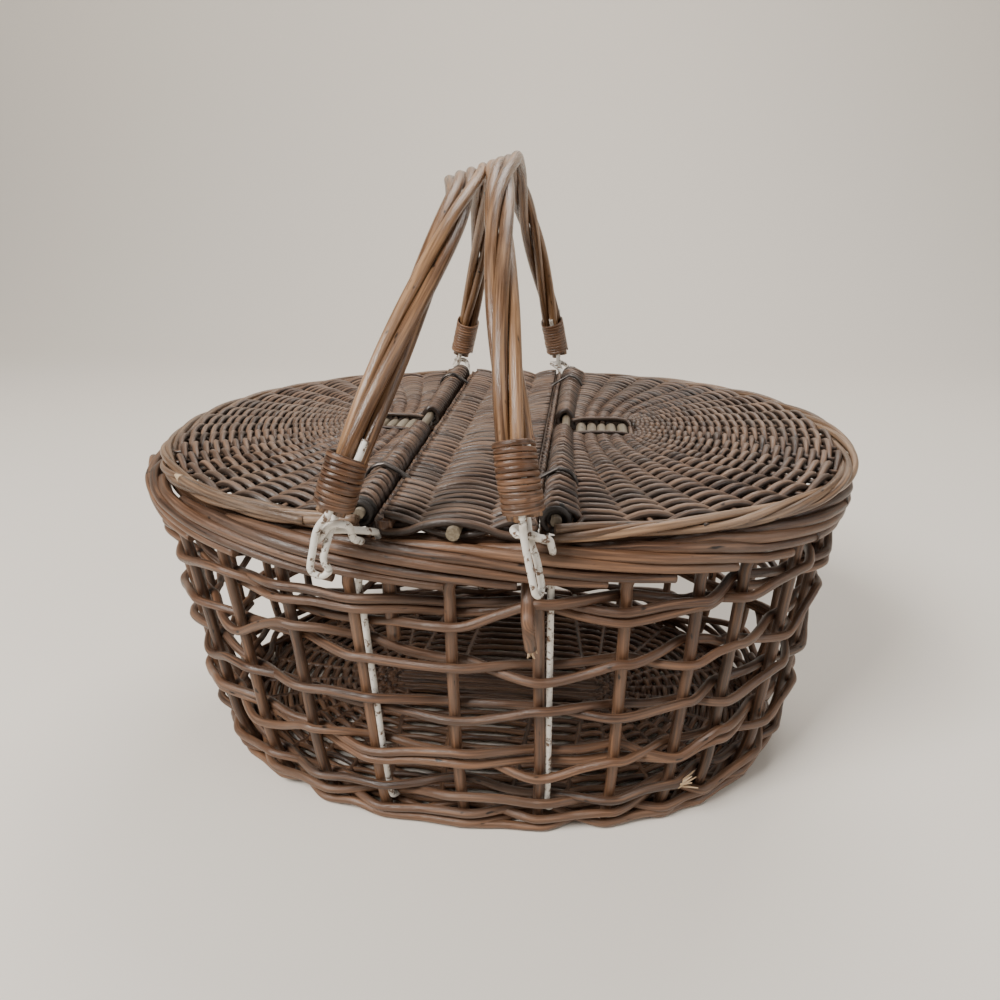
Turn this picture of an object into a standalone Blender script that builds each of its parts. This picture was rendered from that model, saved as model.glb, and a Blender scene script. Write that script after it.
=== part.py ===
"""An oval wicker picnic basket with two hinged lids and two swinging handles.

Metres, +Z up. X runs along the basket, -Y is its front, and the origin is the middle of its underside.
Sizes that can be set by themselves are the values below; every other size is worked out from them.
"""
import math
from functools import lru_cache

import bmesh
import bpy
import numpy as np
from mathutils import Vector
from mathutils.geometry import delaunay_2d_cdt

# The basket's own outline
RIM_LENGTH = 0.452
RIM_WIDTH = 0.348
RIM_HEIGHT = 0.2052
WALL_TAPER_LENGTH = 0.0135
WALL_TAPER_WIDTH = 0.028
FOOT_TUCK_LENGTH = 0.0135
FOOT_TUCK_WIDTH = 0.003
FOOT_TUCK_HEIGHT = 0.050
OVAL_POWER = 2.25
CLEARANCE = 0.0003

# Willow rods of the body
STAKE_RADIUS = 0.0034
STAKE_COUNT = 28
FRONT_STAKE_SHARES = (-0.448, -0.261, -0.027, 0.190, 0.393, 0.567, 0.682)
WEAVER_RADIUS = 0.0029
WEAVER_HEIGHT_SHARES = (0.127, 0.273, 0.463, 0.624, 0.780, 0.819)
WEAVER_SHIFTS = (0, 3, 0, 3, 0, 0)
WEAVER_SPAN = 2
FOOT_SPAN = 1
WEAVER_FLAT = 0.014
RIM_ROD_RADIUS = 0.0034
RIM_ROD_COUNT = 3
FLOOR_THICKNESS = 0.008

# Lids, and the fixed strip between them
LIDS_END_INSET = 0.006
LIDS_SIDE_INSET = 0.004
LIDS_SHIFT = 0.006
PANEL_THICKNESS = 0.007
LID_RIB_COUNT = 21
LID_RIB_RISE = 0.0026
LID_RIB_LEAD_SHARE = 0.30
LID_FLANK_RIBS = 5
LID_FAN_BULGE = 0.006
LID_ROD_RADIUS = 0.0042
STRIP_WIDTH = 0.077
STRIP_STICK_RADIUS = 0.004
STRIP_STICK_DROP = 0.060
LID_BAR_RADIUS = 0.008
LID_BAR_END_INSET = 0.012
SLATH_LENGTH = 0.033
SLATH_WIDTH = 0.024
SLATH_STICKS = 5
SLATH_STICK_RADIUS = 0.0032

# Wire hinge rings, staples and eyes
RING_WIRE_RADIUS = 0.001
RING_FROM_BAR_END = 0.048
STAPLE_WIRE_RADIUS = 0.0018
STAPLE_BOW_RADIUS = 0.0075
STAPLE_OUT = 0.006
STAPLE_RISE = 0.0095
STAPLE_SHORT_LEG = 0.008
STAPLE_HOOK_HEIGHT = 0.0185
STAPLE_HOOK_LENGTH = 0.009
LEFT_PIVOT_X = -0.0545
RIGHT_PIVOT_X = 0.0373
EYE_WIRE_RADIUS = 0.0016
EYE_TAIL_LENGTH = 0.026
EYE_TAIL_WIDTH = 0.0085
EYE_TAIL_OUT = 0.014
EYE_STUB = 0.006

# Handles, each a bow of twisted rods with its ends wrapped
HANDLE_HEIGHT = 0.1635
HANDLE_OUT = 0.010
HANDLE_POWER = 1.75
HANDLE_ROD_RADIUS = 0.0034
HANDLE_RODS = 4
HANDLE_TWIST_TURNS = 1.6
HANDLE_MEETING_X = -0.0015
WRAP_START = 0.0145
WRAP_TURNS = 8
WRAP_PITCH = 0.0038
SKEIN_WIDTH = 0.0030
SKEIN_THICKNESS = 0.001
MEETING_GAP = 0.0008

# Mesh fineness
OVAL_SAMPLES = 4000
RIM_POINTS = 42
BOW_POINTS = 23
PANEL_POINTS = 28
RELIEF_POINTS = 5
STAKE_FOOT_POINTS = 3
HAIRPIN_POINTS = 5
WRAP_POINTS = 8
RING_POINTS = 6
BEND_POINTS = 2
THIN_SIDES = 6
BAR_SIDES = 16
RIDGE_POINTS = 4
FULL_TURN = 2 * math.pi
QUARTER_TURN = math.pi / 2

# Worked out from the sizes above
WALL_OFFSET = STAKE_RADIUS + CLEARANCE + WEAVER_RADIUS
STAKE_LINE_INSET = RIM_ROD_RADIUS * 2 + CLEARANCE * 2 + STAKE_RADIUS
STAKE_TOP_A = RIM_LENGTH / 2 - STAKE_LINE_INSET
STAKE_TOP_B = RIM_WIDTH / 2 - STAKE_LINE_INSET
LIDS_LENGTH = RIM_LENGTH - LIDS_END_INSET * 2
LIDS_WIDTH = RIM_WIDTH - LIDS_SIDE_INSET * 2
LID_BAR_LENGTH = LIDS_WIDTH - LID_BAR_END_INSET * 2
RING_PLACE = LID_BAR_LENGTH / 2 - RING_FROM_BAR_END
STAPLE_STANDOFF = RIM_WIDTH / 2 + STAPLE_OUT
HANDLE_STANDOFF = RIM_WIDTH / 2 + HANDLE_OUT
EYE_TAIL_FRONT = RIM_WIDTH / 2 + EYE_TAIL_OUT
PANEL_BOTTOM = RIM_HEIGHT + CLEARANCE
PANEL_TOP = PANEL_BOTTOM + PANEL_THICKNESS
STRIP_STICK_X = STRIP_WIDTH / 2 - STRIP_STICK_RADIUS
LID_BAR_X = STRIP_WIDTH / 2 + CLEARANCE + RING_WIRE_RADIUS + LID_BAR_RADIUS
LID_BAR_Z = PANEL_BOTTOM + LID_BAR_RADIUS
PIVOT_Z = RIM_HEIGHT + STAPLE_RISE
HANDLE_FOOT = STAPLE_BOW_RADIUS + STAPLE_WIRE_RADIUS + 5 * CLEARANCE
BUNDLE_LINE = (HANDLE_ROD_RADIUS * 2 + CLEARANCE) / (2 * math.sin(math.pi / HANDLE_RODS))
BUNDLE_RADIUS = BUNDLE_LINE + HANDLE_ROD_RADIUS


def clear_scene():
    """Removes what the file opened with."""
    for thing in list(bpy.data.objects):
        bpy.data.objects.remove(thing, do_unlink=True)


def material(name, colour, roughness, metallic=0.0):
    """A plain Principled material, made once for each name."""
    found = bpy.data.materials.get(name)
    if found:
        return found
    made = bpy.data.materials.new(name)
    made.use_nodes = True
    shader = made.node_tree.nodes["Principled BSDF"]
    shader.inputs["Base Color"].default_value = (*colour, 1.0)
    shader.inputs["Roughness"].default_value = roughness
    shader.inputs["Metallic"].default_value = metallic
    return made


def willow(name):
    """Willow in the shade that this piece has."""
    shades = {
        "side_willow": ((0.23, 0.11, 0.06), 0.55),
        "lid_willow": ((0.22, 0.15, 0.10), 0.6),
        "handle_willow": ((0.33, 0.17, 0.08), 0.4),
        "wrap_skein": ((0.35, 0.15, 0.06), 0.5),
        "slath_sticks": ((0.28, 0.24, 0.17), 0.6),
    }
    colour, roughness = shades[name]
    return material(name, colour, roughness)


def white_wire():
    """Thick wire with a worn off-white coating."""
    return material("white_wire", (0.72, 0.70, 0.64), 0.5)


def dark_wire():
    """Bare darkened steel wire."""
    return material("dark_wire", (0.06, 0.055, 0.05), 0.4, 0.9)


def place(name, data, finish):
    """Puts mesh or curve data into the scene under its name."""
    data.materials.append(finish)
    thing = bpy.data.objects.new(name, data)
    bpy.context.collection.objects.link(thing)
    return thing


def finish_mesh(name, shape, finish, smooth=True):
    """Turns a bmesh into a placed object with its faces pointing out."""
    bmesh.ops.recalc_face_normals(shape, faces=shape.faces)
    data = bpy.data.meshes.new(name)
    shape.to_mesh(data)
    shape.free()
    if smooth:
        data.shade_smooth()
        data.set_sharp_from_angle(angle=math.radians(50))
    return place(name, data, finish)


def rod(name, points, radius, finish, cyclic=False, sides=THIN_SIDES, level=False):
    """A round rod or wire along points, with filled ends."""
    data = bpy.data.curves.new(name, "CURVE")
    data.dimensions = "3D"
    data.twist_mode = "Z_UP" if level else "MINIMUM"
    data.bevel_depth = radius
    data.bevel_resolution = (sides - 4) // 2
    data.use_fill_caps = not cyclic
    line = data.splines.new("POLY")
    line.points.add(len(points) - 1)
    for spot, point in zip(line.points, points):
        spot.co = (*point, 1.0)
    line.use_cyclic_u = cyclic
    return place(name, data, finish)


def sweep(name, points, sides_out, sides_along, half_width, half_thickness, finish):
    """A flat skein along points; its section is set by a direction out and a direction along."""
    shape = bmesh.new()
    rings = []
    for point, out, along in zip(points, sides_out, sides_along):
        corners = ((1, 1), (-1, 1), (-1, -1), (1, -1))
        ring = [shape.verts.new(point + out * half_thickness * a + along * half_width * b) for a, b in corners]
        rings.append(ring)
    for first, second in zip(rings, rings[1:]):
        for k in range(4):
            n = (k + 1) % 4
            shape.faces.new((first[k], first[n], second[n], second[k]))
    shape.faces.new(rings[0])
    shape.faces.new(list(reversed(rings[-1])))
    return finish_mesh(name, shape, finish, smooth=False)


def plate(name, outline, bottom, top, finish):
    """A flat plate with the given outline."""
    shape = bmesh.new()
    face = shape.faces.new([shape.verts.new((x, y, bottom)) for x, y in outline])
    grown = bmesh.ops.extrude_face_region(shape, geom=[face])
    raised = [part for part in grown["geom"] if isinstance(part, bmesh.types.BMVert)]
    bmesh.ops.translate(shape, verts=raised, vec=(0, 0, top - bottom))
    return finish_mesh(name, shape, finish, smooth=False)


@lru_cache(maxsize=None)
def oval_table(a, b):
    """Points of the basket's oval and the length along it, from the middle of the front, anticlockwise."""
    turn = np.linspace(-QUARTER_TURN, FULL_TURN - QUARTER_TURN, OVAL_SAMPLES + 1)
    cos, sin = np.cos(turn), np.sin(turn)
    x = a * np.sign(cos) * np.abs(cos) ** (2 / OVAL_POWER)
    y = b * np.sign(sin) * np.abs(sin) ** (2 / OVAL_POWER)
    along = np.concatenate(([0], np.cumsum(np.hypot(np.diff(x), np.diff(y)))))
    return x, y, along


def oval_point(table, length):
    """The point of an oval at a length along it, and the direction out of it."""
    x, y, along = table
    full = along[-1]
    here = length % full
    step = full / OVAL_SAMPLES
    point = Vector((np.interp(here, along, x), np.interp(here, along, y), 0))
    ahead = (here + step) % full
    behind = (here - step) % full
    tangent_x = np.interp(ahead, along, x) - np.interp(behind, along, x)
    tangent_y = np.interp(ahead, along, y) - np.interp(behind, along, y)
    out = Vector((tangent_y, -tangent_x, 0)).normalized()
    return point, out


def wall_axes(height):
    """Half length and half width of the oval that the stakes stand on, at a height."""
    fall = 1 - height / RIM_HEIGHT
    tuck = max(1 - height / FOOT_TUCK_HEIGHT, 0) ** 2
    half_length = STAKE_TOP_A - WALL_TAPER_LENGTH * fall - FOOT_TUCK_LENGTH * tuck
    half_width = STAKE_TOP_B - WALL_TAPER_WIDTH * fall - FOOT_TUCK_WIDTH * tuck
    return half_length, half_width


def wall_slope(height):
    """How far the basket's ends lean out for each unit of height, at a height."""
    lower, upper = wall_axes(height - CLEARANCE), wall_axes(height + CLEARANCE)
    return (upper[0] - lower[0]) / (2 * CLEARANCE)


def length_at(table, a, x, y):
    """The length along an oval with half length a at which it passes x, on the side that y lies on."""
    cos = math.copysign((abs(x) / a) ** (OVAL_POWER / 2), x)
    sin = math.copysign(math.sqrt(1 - cos ** 2), y)
    sample = (math.atan2(sin, cos) + QUARTER_TURN) % FULL_TURN / FULL_TURN * OVAL_SAMPLES
    return np.interp(sample, np.arange(OVAL_SAMPLES + 1), table[2])


@lru_cache(maxsize=None)
def stake_tops():
    """The stakes' places at their tops: the front ones by their shares, the others evenly spaced."""
    table = oval_table(STAKE_TOP_A, STAKE_TOP_B)
    front = [length_at(table, STAKE_TOP_A, share * STAKE_TOP_A, -1) for share in FRONT_STAKE_SHARES]
    others = STAKE_COUNT - len(front)
    gap = (front[0] - front[-1]) / (others + 1)
    lengths = front + [front[-1] + gap * (k + 1) for k in range(others)]
    return tuple(tuple(oval_point(table, length)[0].xy) for length in lengths)


def stake_length(height, stake):
    """The length along the oval at a height at which a stake crosses it."""
    a, b = wall_axes(height)
    x, y = stake_tops()[stake % STAKE_COUNT]
    along_side = x * (a / STAKE_TOP_A) ** (abs(x) / STAKE_TOP_A)
    return length_at(oval_table(a, b), a, along_side, y)


def wall_point(height, stake, offset_along=0.0, offset_out=0.0):
    """A point of the wall: by the stake's number, a length along from it and a distance out."""
    table = oval_table(*wall_axes(height))
    first = math.floor(stake)
    here, following = stake_length(height, first), stake_length(height, first + 1)
    step = (following - here) % table[2][-1]
    length = here + step * (stake - first) + offset_along
    point, out = oval_point(table, length)
    return point + out * offset_out + Vector((0, 0, height))


def half_width_at(length, width, x):
    """Half the width of an oval at a distance x from its middle."""
    share = min(abs(x) / (length / 2), 1.0)
    return width / 2 * (1 - share ** OVAL_POWER) ** (1 / OVAL_POWER)


def bend(corner, towards_start, towards_end, radius):
    """Points of a rounded corner of a wire."""
    first = corner + towards_start * radius
    last = corner + towards_end * radius
    made = []
    for k in range(BEND_POINTS):
        t = k / (BEND_POINTS - 1)
        made.append(first * (1 - t) ** 2 + corner * 2 * t * (1 - t) + last * t ** 2)
    return made


def rounded(corners, radius):
    """A wire's route through corners, each of them rounded."""
    route = [corners[0]]
    for before, corner, after in zip(corners, corners[1:], corners[2:]):
        back, ahead = before - corner, after - corner
        reach = min(radius, back.length / 2, ahead.length / 2)
        route += bend(corner, back.normalized(), ahead.normalized(), reach)
    route.append(corners[-1])
    return route


def make_floor():
    """The woven floor, flat underneath."""
    a, b = wall_axes(0)
    inset = STAKE_RADIUS + CLEARANCE
    table = oval_table(a - inset, b - inset)
    pitch = table[2][-1] / RIM_POINTS
    outline = [oval_point(table, pitch * k)[0].xy for k in range(RIM_POINTS)]
    plate("floor_panel", outline, 0, FLOOR_THICKNESS, willow("side_willow"))


def make_stakes():
    """Upright stakes, each pair one rod bent like a hairpin under the foot border."""
    foot = STAKE_RADIUS
    top = RIM_HEIGHT - STAKE_RADIUS * WALL_TAPER_WIDTH / RIM_HEIGHT
    bends = [foot + (FOOT_TUCK_HEIGHT - foot) * (k + 1) / STAKE_FOOT_POINTS for k in range(STAKE_FOOT_POINTS)]
    for pair in range(STAKE_COUNT // 2):
        first, second = pair * 2, pair * 2 + 1
        down = [wall_point(height, first) for height in [top, *reversed(bends)]]
        low = [wall_point(foot, first + share) for share in np.linspace(0, 1, HAIRPIN_POINTS)]
        route = down + low + [wall_point(height, second) for height in [*bends, top]]
        rod(f"side_stakes_{pair + 1:02d}", route, STAKE_RADIUS, willow("side_willow"))


def weaver_route(height, shift, span):
    """A strand that passes before some stakes and behind as many, turn by turn."""
    half = WEAVER_FLAT / 2
    offset = WALL_OFFSET * math.hypot(1, wall_slope(height))
    route = []
    for stake in range(STAKE_COUNT):
        side = -1 if (stake + shift) // span % 2 else 1
        route.append(wall_point(height, stake, -half, side * offset))
        route.append(wall_point(height, stake, half, side * offset))
    return route


def make_weavers():
    """The foot border and the open rows of the side."""
    foot = max(FLOOR_THICKNESS, STAKE_RADIUS * 2) + CLEARANCE + WEAVER_RADIUS
    finish = willow("side_willow")
    rod("foot_border", weaver_route(foot, 0, FOOT_SPAN), WEAVER_RADIUS, finish, cyclic=True, level=True)
    for row, (share, shift) in enumerate(zip(WEAVER_HEIGHT_SHARES, WEAVER_SHIFTS)):
        route = weaver_route(RIM_HEIGHT * share, shift, WEAVER_SPAN)
        rod(f"side_weaver_{row + 1}", route, WEAVER_RADIUS, finish, cyclic=True, level=True)


def make_rim():
    """Border rods stacked outside the stakes' tops."""
    table = oval_table(RIM_LENGTH / 2 - RIM_ROD_RADIUS, RIM_WIDTH / 2 - RIM_ROD_RADIUS)
    pitch = table[2][-1] / RIM_POINTS
    names = ["rim_rod_top", "rim_rod_middle", "rim_rod_bottom"]
    for k, name in enumerate(names[:RIM_ROD_COUNT]):
        height = RIM_HEIGHT - RIM_ROD_RADIUS - k * (RIM_ROD_RADIUS * 2 + CLEARANCE)
        ring = [oval_point(table, pitch * n)[0] + Vector((0, 0, height)) for n in range(RIM_POINTS)]
        rod(name, ring, RIM_ROD_RADIUS, willow("side_willow"), cyclic=True, level=True)


def rim_bottom():
    """The height of the border's underside."""
    return RIM_HEIGHT - RIM_ROD_COUNT * RIM_ROD_RADIUS * 2 - (RIM_ROD_COUNT - 1) * CLEARANCE


def notched_edge(x, depth_sign, end, notches):
    """An edge along Y with notches cut from it: each has a place, a half width and a depth."""
    edge = [(x, -end)]
    for place_y, half, depth in notches:
        edge += [(x, place_y - half), (x + depth_sign * depth, place_y - half)]
        edge += [(x + depth_sign * depth, place_y + half), (x, place_y + half)]
    edge.append((x, end))
    return edge


def make_strip():
    """The fixed strip that joins the two long sides, with a stick along each edge."""
    edge = STRIP_STICK_X - STRIP_STICK_RADIUS - CLEARANCE
    end = half_width_at(LIDS_LENGTH, LIDS_WIDTH, STRIP_STICK_X)
    ring_reach = 2 * (CLEARANCE + RING_WIRE_RADIUS)
    notch = (RING_WIRE_RADIUS + CLEARANCE * 2, ring_reach)
    places = [(-RING_PLACE, *notch), (RING_PLACE, *notch)]
    right = notched_edge(edge, -1, end, places)
    left = notched_edge(-edge, 1, end, places)
    outline = right + list(reversed(left))
    plate("strip_panel", outline, PANEL_BOTTOM, PANEL_TOP, willow("lid_willow"))
    height = PANEL_BOTTOM + STRIP_STICK_RADIUS
    inside = STAKE_RADIUS + CLEARANCE * 2 + WEAVER_RADIUS * 2 + STRIP_STICK_RADIUS
    for name, x in (("strip_stick_left", -STRIP_STICK_X), ("strip_stick_right", STRIP_STICK_X)):
        low = RIM_HEIGHT - STRIP_STICK_DROP
        leaning = WALL_TAPER_WIDTH * STRIP_STICK_DROP / RIM_HEIGHT
        turn = half_width_at(2 * STAKE_TOP_A, 2 * STAKE_TOP_B, x) - inside - leaning
        corners = [Vector((x, -turn, low)), Vector((x, -turn, height)), Vector((x, turn, height))]
        corners.append(Vector((x, turn, low)))
        rod(name, rounded(corners, STRIP_STICK_RADIUS * 2), STRIP_STICK_RADIUS, willow("lid_willow"), sides=8)


def lid_arc(side, inset, start):
    """Points of the lids' shared oval on one side, beyond a distance from the middle."""
    length, width = LIDS_LENGTH - 2 * inset, LIDS_WIDTH - 2 * inset
    x_from = side * start - LIDS_SHIFT
    turn_from = math.acos((abs(x_from) / (length / 2)) ** (OVAL_POWER / 2))
    points = []
    for k in range(PANEL_POINTS + 1):
        turn = -turn_from + 2 * turn_from * k / PANEL_POINTS
        x = length / 2 * math.cos(turn) ** (2 / OVAL_POWER)
        y = width / 2 * math.copysign(abs(math.sin(turn)) ** (2 / OVAL_POWER), turn)
        points.append((side * x + LIDS_SHIFT, y))
    return points


def rib_point(side, rib, share, start):
    """A point of a lid by its rib, counted from the front end of the hinged side, and its share outward."""
    edge = lid_arc(side, 2 * LID_ROD_RADIUS + CLEARANCE, start)
    run = np.concatenate(([0], np.cumsum([math.dist(a, b) for a, b in zip(edge, edge[1:])])))
    where = rib / (LID_RIB_COUNT + 1) * run[-1]
    outer = Vector([np.interp(where, run, [point[k] for point in edge]) for k in (0, 1)])
    last = LID_RIB_COUNT + 1 - LID_FLANK_RIBS
    turn = -QUARTER_TURN + math.pi * min(max((rib - LID_FLANK_RIBS) / (last - LID_FLANK_RIBS), 0), 1)
    flank = min(rib, LID_RIB_COUNT + 1 - rib, LID_FLANK_RIBS) / LID_FLANK_RIBS
    x = start + SLATH_LENGTH * flank + LID_FAN_BULGE * math.cos(turn)
    inner = Vector((side * x, SLATH_WIDTH / 2 * math.sin(turn)))
    away = Vector((side * math.cos(turn), math.sin(turn)))
    lead = inner + away * (outer - inner).length * LID_RIB_LEAD_SHARE
    return inner * (1 - share) ** 2 + lead * 2 * share * (1 - share) + outer * share ** 2


def make_lid_panel(name, side, outline, start):
    """A lid's woven sheet: ridges over its fan of ribs, above and below, inside a notched outline."""
    spots = [Vector(point) for point in outline]
    border = list(range(len(spots)))
    heights = [0.0] * len(spots)
    lines = []
    for half_rib in range(1, 2 * LID_RIB_COUNT + 2):
        rise = LID_RIB_RISE * ((half_rib + 1) % 2)
        line = []
        for k in range(RELIEF_POINTS):
            share = (k + 1 / 2) / RELIEF_POINTS
            spot = rib_point(side, half_rib / 2, share, start)
            if min((spot - other).length for other in spots) > LID_RIB_RISE and inside(spot, outline):
                line.append(len(spots))
                spots.append(spot)
                heights.append(rise)
        lines += list(zip(line, line[1:]))
    made, _, faces, origins, _, _ = delaunay_2d_cdt(spots, lines, [border], 1, CLEARANCE / 100)
    shape = bmesh.new()
    top = PANEL_BOTTOM + PANEL_THICKNESS
    upper, lower = [], []
    for spot, origin in zip(made, origins):
        rise = heights[origin[0]] if origin else 0.0
        upper.append(shape.verts.new((*spot, top + rise)))
        lower.append(shape.verts.new((*spot, PANEL_BOTTOM + LID_RIB_RISE - rise)))
    uses = {}
    for face in faces:
        shape.faces.new([upper[k] for k in face])
        shape.faces.new([lower[k] for k in reversed(face)])
        for a, b in zip(face, face[1:] + face[:1]):
            uses.setdefault((min(a, b), max(a, b)), []).append((a, b))
    for sides in uses.values():
        if len(sides) == 1:
            a, b = sides[0]
            shape.faces.new((upper[b], upper[a], lower[a], lower[b]))
    finish_mesh(name, shape, willow("lid_willow"), smooth=False)


def inside(spot, outline):
    """Whether a point lies inside a closed outline."""
    crossings = 0
    for (ax, ay), (bx, by) in zip(outline, outline[1:] + outline[:1]):
        if (ay > spot.y) != (by > spot.y) and spot.x < ax + (spot.y - ay) * (bx - ax) / (by - ay):
            crossings += 1
    return crossings % 2 == 1


def slath_section():
    """Section of the bound sticks at a lid's crossing: round ridges side by side on a thin web."""
    pitch = SLATH_LENGTH / SLATH_STICKS
    section = []
    for k in range(SLATH_STICKS):
        middle = pitch * (k + 0.5)
        for n in range(RIDGE_POINTS + 1):
            turn = math.pi * (1 - n / RIDGE_POINTS)
            x = middle + (pitch / 2) * math.cos(turn)
            z = SLATH_STICK_RADIUS * (1 + math.sin(turn))
            if not section or abs(section[-1][0] - x) > CLEARANCE:
                section.append((x, z))
    section += [(SLATH_LENGTH, 0), (0, 0)]
    return section


def make_slath(name, side, start):
    """The short bound sticks that show at the middle of a lid's hinged side."""
    shape = bmesh.new()
    corners = [Vector((side * (start + x), -SLATH_WIDTH / 2, PANEL_BOTTOM + z)) for x, z in slath_section()]
    face = shape.faces.new([shape.verts.new(c) for c in corners])
    grown = bmesh.ops.extrude_face_region(shape, geom=[face])
    moved = [part for part in grown["geom"] if isinstance(part, bmesh.types.BMVert)]
    bmesh.ops.translate(shape, verts=moved, vec=(0, SLATH_WIDTH, 0))
    finish_mesh(name, shape, willow("slath_sticks"), smooth=False)


def make_lid(word, side):
    """One woven lid: its panel, border rod, hinge bar and slath."""
    start = LID_BAR_X + LID_BAR_RADIUS + CLEARANCE
    ring_depth = 2 * RING_WIRE_RADIUS + 3 * CLEARANCE
    ring_half = RING_WIRE_RADIUS + 2 * CLEARANCE
    slath_half = SLATH_WIDTH / 2 + CLEARANCE
    slath_depth = SLATH_LENGTH + CLEARANCE
    far = lid_arc(side, 2 * LID_ROD_RADIUS + CLEARANCE, start)
    notches = [(-RING_PLACE, ring_half, ring_depth), (0, slath_half, slath_depth)]
    notches.append((RING_PLACE, ring_half, ring_depth))
    near = notched_edge(side * start, side, abs(far[0][1]), notches)
    outline = far + list(reversed(near))[1:-1]
    make_lid_panel(f"lid_{word}_panel", side, outline, start)
    height = PANEL_BOTTOM + LID_ROD_RADIUS
    edge = [Vector((x, y, height)) for x, y in lid_arc(side, LID_ROD_RADIUS, start)]
    rod(f"lid_{word}_border", edge, LID_ROD_RADIUS, willow("lid_willow"), level=True)
    shape = bmesh.new()
    bmesh.ops.create_cone(shape, cap_ends=True, segments=BAR_SIDES, radius1=LID_BAR_RADIUS,
                          radius2=LID_BAR_RADIUS, depth=LID_BAR_LENGTH)
    bar = finish_mesh(f"lid_{word}_hinge_bar", shape, willow("lid_willow"))
    bar.rotation_euler = (QUARTER_TURN, 0, 0)
    bar.location = (side * LID_BAR_X, 0, LID_BAR_Z)
    make_slath(f"lid_{word}_slath", side, start)


def make_hinge_rings(word, side):
    """Wire rings that hold a lid's bar to the strip's edge stick; the lid turns inside them."""
    bar = Vector((side * LID_BAR_X, 0, LID_BAR_Z))
    stick = Vector((side * STRIP_STICK_X, 0, PANEL_BOTTOM + STRIP_STICK_RADIUS))
    bar_line = LID_BAR_RADIUS + CLEARANCE + RING_WIRE_RADIUS
    stick_line = STRIP_STICK_RADIUS + CLEARANCE + RING_WIRE_RADIUS
    apart = bar - stick
    lean = math.atan2(apart.z, apart.x)
    spread = math.acos((bar_line - stick_line) / apart.length)
    corner = math.cos(math.pi / (RING_POINTS * 4))
    for end, y in (("front", -RING_PLACE), ("back", RING_PLACE)):
        route = []
        for k in range(RING_POINTS * 2 + 1):
            turn = lean - (math.pi - spread) + 2 * (math.pi - spread) * k / (RING_POINTS * 2)
            route.append(bar + Vector((math.cos(turn), 0, math.sin(turn))) * bar_line / corner)
        for k in range(RING_POINTS + 1):
            turn = lean + (math.pi - spread) + 2 * spread * k / RING_POINTS
            route.append(stick + Vector((math.cos(turn), 0, math.sin(turn))) * stick_line / corner)
        ring = [point + Vector((0, y, 0)) for point in route]
        rod(f"hinge_ring_{word}_{end}", ring, RING_WIRE_RADIUS, dark_wire(), cyclic=True)


def nearest_stake(spot):
    """The stake nearest to a point of the wall, and how far beside it a staple's leg runs on that side."""
    beside = STAKE_RADIUS + STAPLE_WIRE_RADIUS + 2 * CLEARANCE
    choices = [(stake, side * beside) for stake in range(STAKE_COUNT) for side in (-1, 1)]
    return min(choices, key=lambda choice: (wall_point(spot.z, *choice) - spot).length)


def beside_stakes(spot):
    """A point of the wall, moved sideways where a stake is in a staple's way."""
    stake, beside = nearest_stake(spot)
    is_free = (wall_point(spot.z, stake) - spot).length > abs(beside)
    return spot if is_free else wall_point(spot.z, stake, beside)


def make_staple(word, pivot_x, front):
    """A wire staple: a bow that the handle's eye hangs in, and legs down the wall."""
    y_sign = -1 if front else 1
    bow = []
    for k in range(RING_POINTS + 1):
        turn = math.pi * k / RING_POINTS
        x = pivot_x + STAPLE_BOW_RADIUS * math.cos(turn)
        bow.append(Vector((x, y_sign * STAPLE_STANDOFF, PIVOT_Z + STAPLE_BOW_RADIUS * math.sin(turn))))
    legs = []
    hook = Vector((0, -y_sign * STAPLE_HOOK_LENGTH, 0))
    for leg_x, is_long in ((bow[0].x, True), (bow[-1].x, False)):
        rim_face = half_width_at(RIM_LENGTH, RIM_WIDTH, abs(leg_x)) + CLEARANCE * 2 + STAPLE_WIRE_RADIUS
        below = rim_bottom() - STAPLE_WIRE_RADIUS - CLEARANCE * 3
        wall_length, wall_width = wall_axes(below)
        wall = half_width_at(2 * wall_length, 2 * wall_width, leg_x)
        leg = [Vector((leg_x, y_sign * STAPLE_STANDOFF, PIVOT_Z))]
        leg.append(Vector((leg_x, y_sign * STAPLE_STANDOFF, RIM_HEIGHT)))
        leg.append(Vector((leg_x, y_sign * rim_face, RIM_HEIGHT - RIM_ROD_RADIUS * 2)))
        leg.append(Vector((leg_x, y_sign * rim_face, below)))
        if is_long:
            stake, beside = nearest_stake(Vector((leg_x, y_sign * wall, below)))
            foot = wall_point(STAPLE_HOOK_HEIGHT, stake, beside)
            leg += [wall_point(below, stake, beside), foot, foot + hook]
        else:
            leg.append(beside_stakes(Vector((leg_x, y_sign * wall, below))))
            leg.append(beside_stakes(Vector((leg_x, y_sign * wall, below - STAPLE_SHORT_LEG))))
        legs.append(rounded(leg, STAPLE_WIRE_RADIUS * 2))
    route = list(reversed(legs[0]))[:-1] + bow + legs[1][1:]
    rod(f"staple_{word}_{'front' if front else 'back'}", route, STAPLE_WIRE_RADIUS, white_wire())


def bow_point(share):
    """A point of a handle's middle line in its own plane: distance across and height over the pivot."""
    turn = math.pi * share
    across = -math.copysign(abs(math.cos(turn)) ** (2 / HANDLE_POWER), math.cos(turn))
    height = math.sin(turn) ** (2 / HANDLE_POWER)
    return HANDLE_STANDOFF * across, HANDLE_HEIGHT * height


def bow_line():
    """Evenly spaced points of the handle's middle line, from one foot to the other."""
    dense = [Vector((0, *bow_point(k / OVAL_SAMPLES))) for k in range(OVAL_SAMPLES + 1)]
    dense = [p for p in dense if p.z >= HANDLE_FOOT]
    along = np.concatenate(([0], np.cumsum([(b - a).length for a, b in zip(dense, dense[1:])])))
    spots = np.linspace(0, along[-1], BOW_POINTS)
    across = np.interp(spots, along, [p.y for p in dense])
    height = np.interp(spots, along, [p.z for p in dense])
    return [Vector((0, y, z)) for y, z in zip(across, height)]


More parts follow.
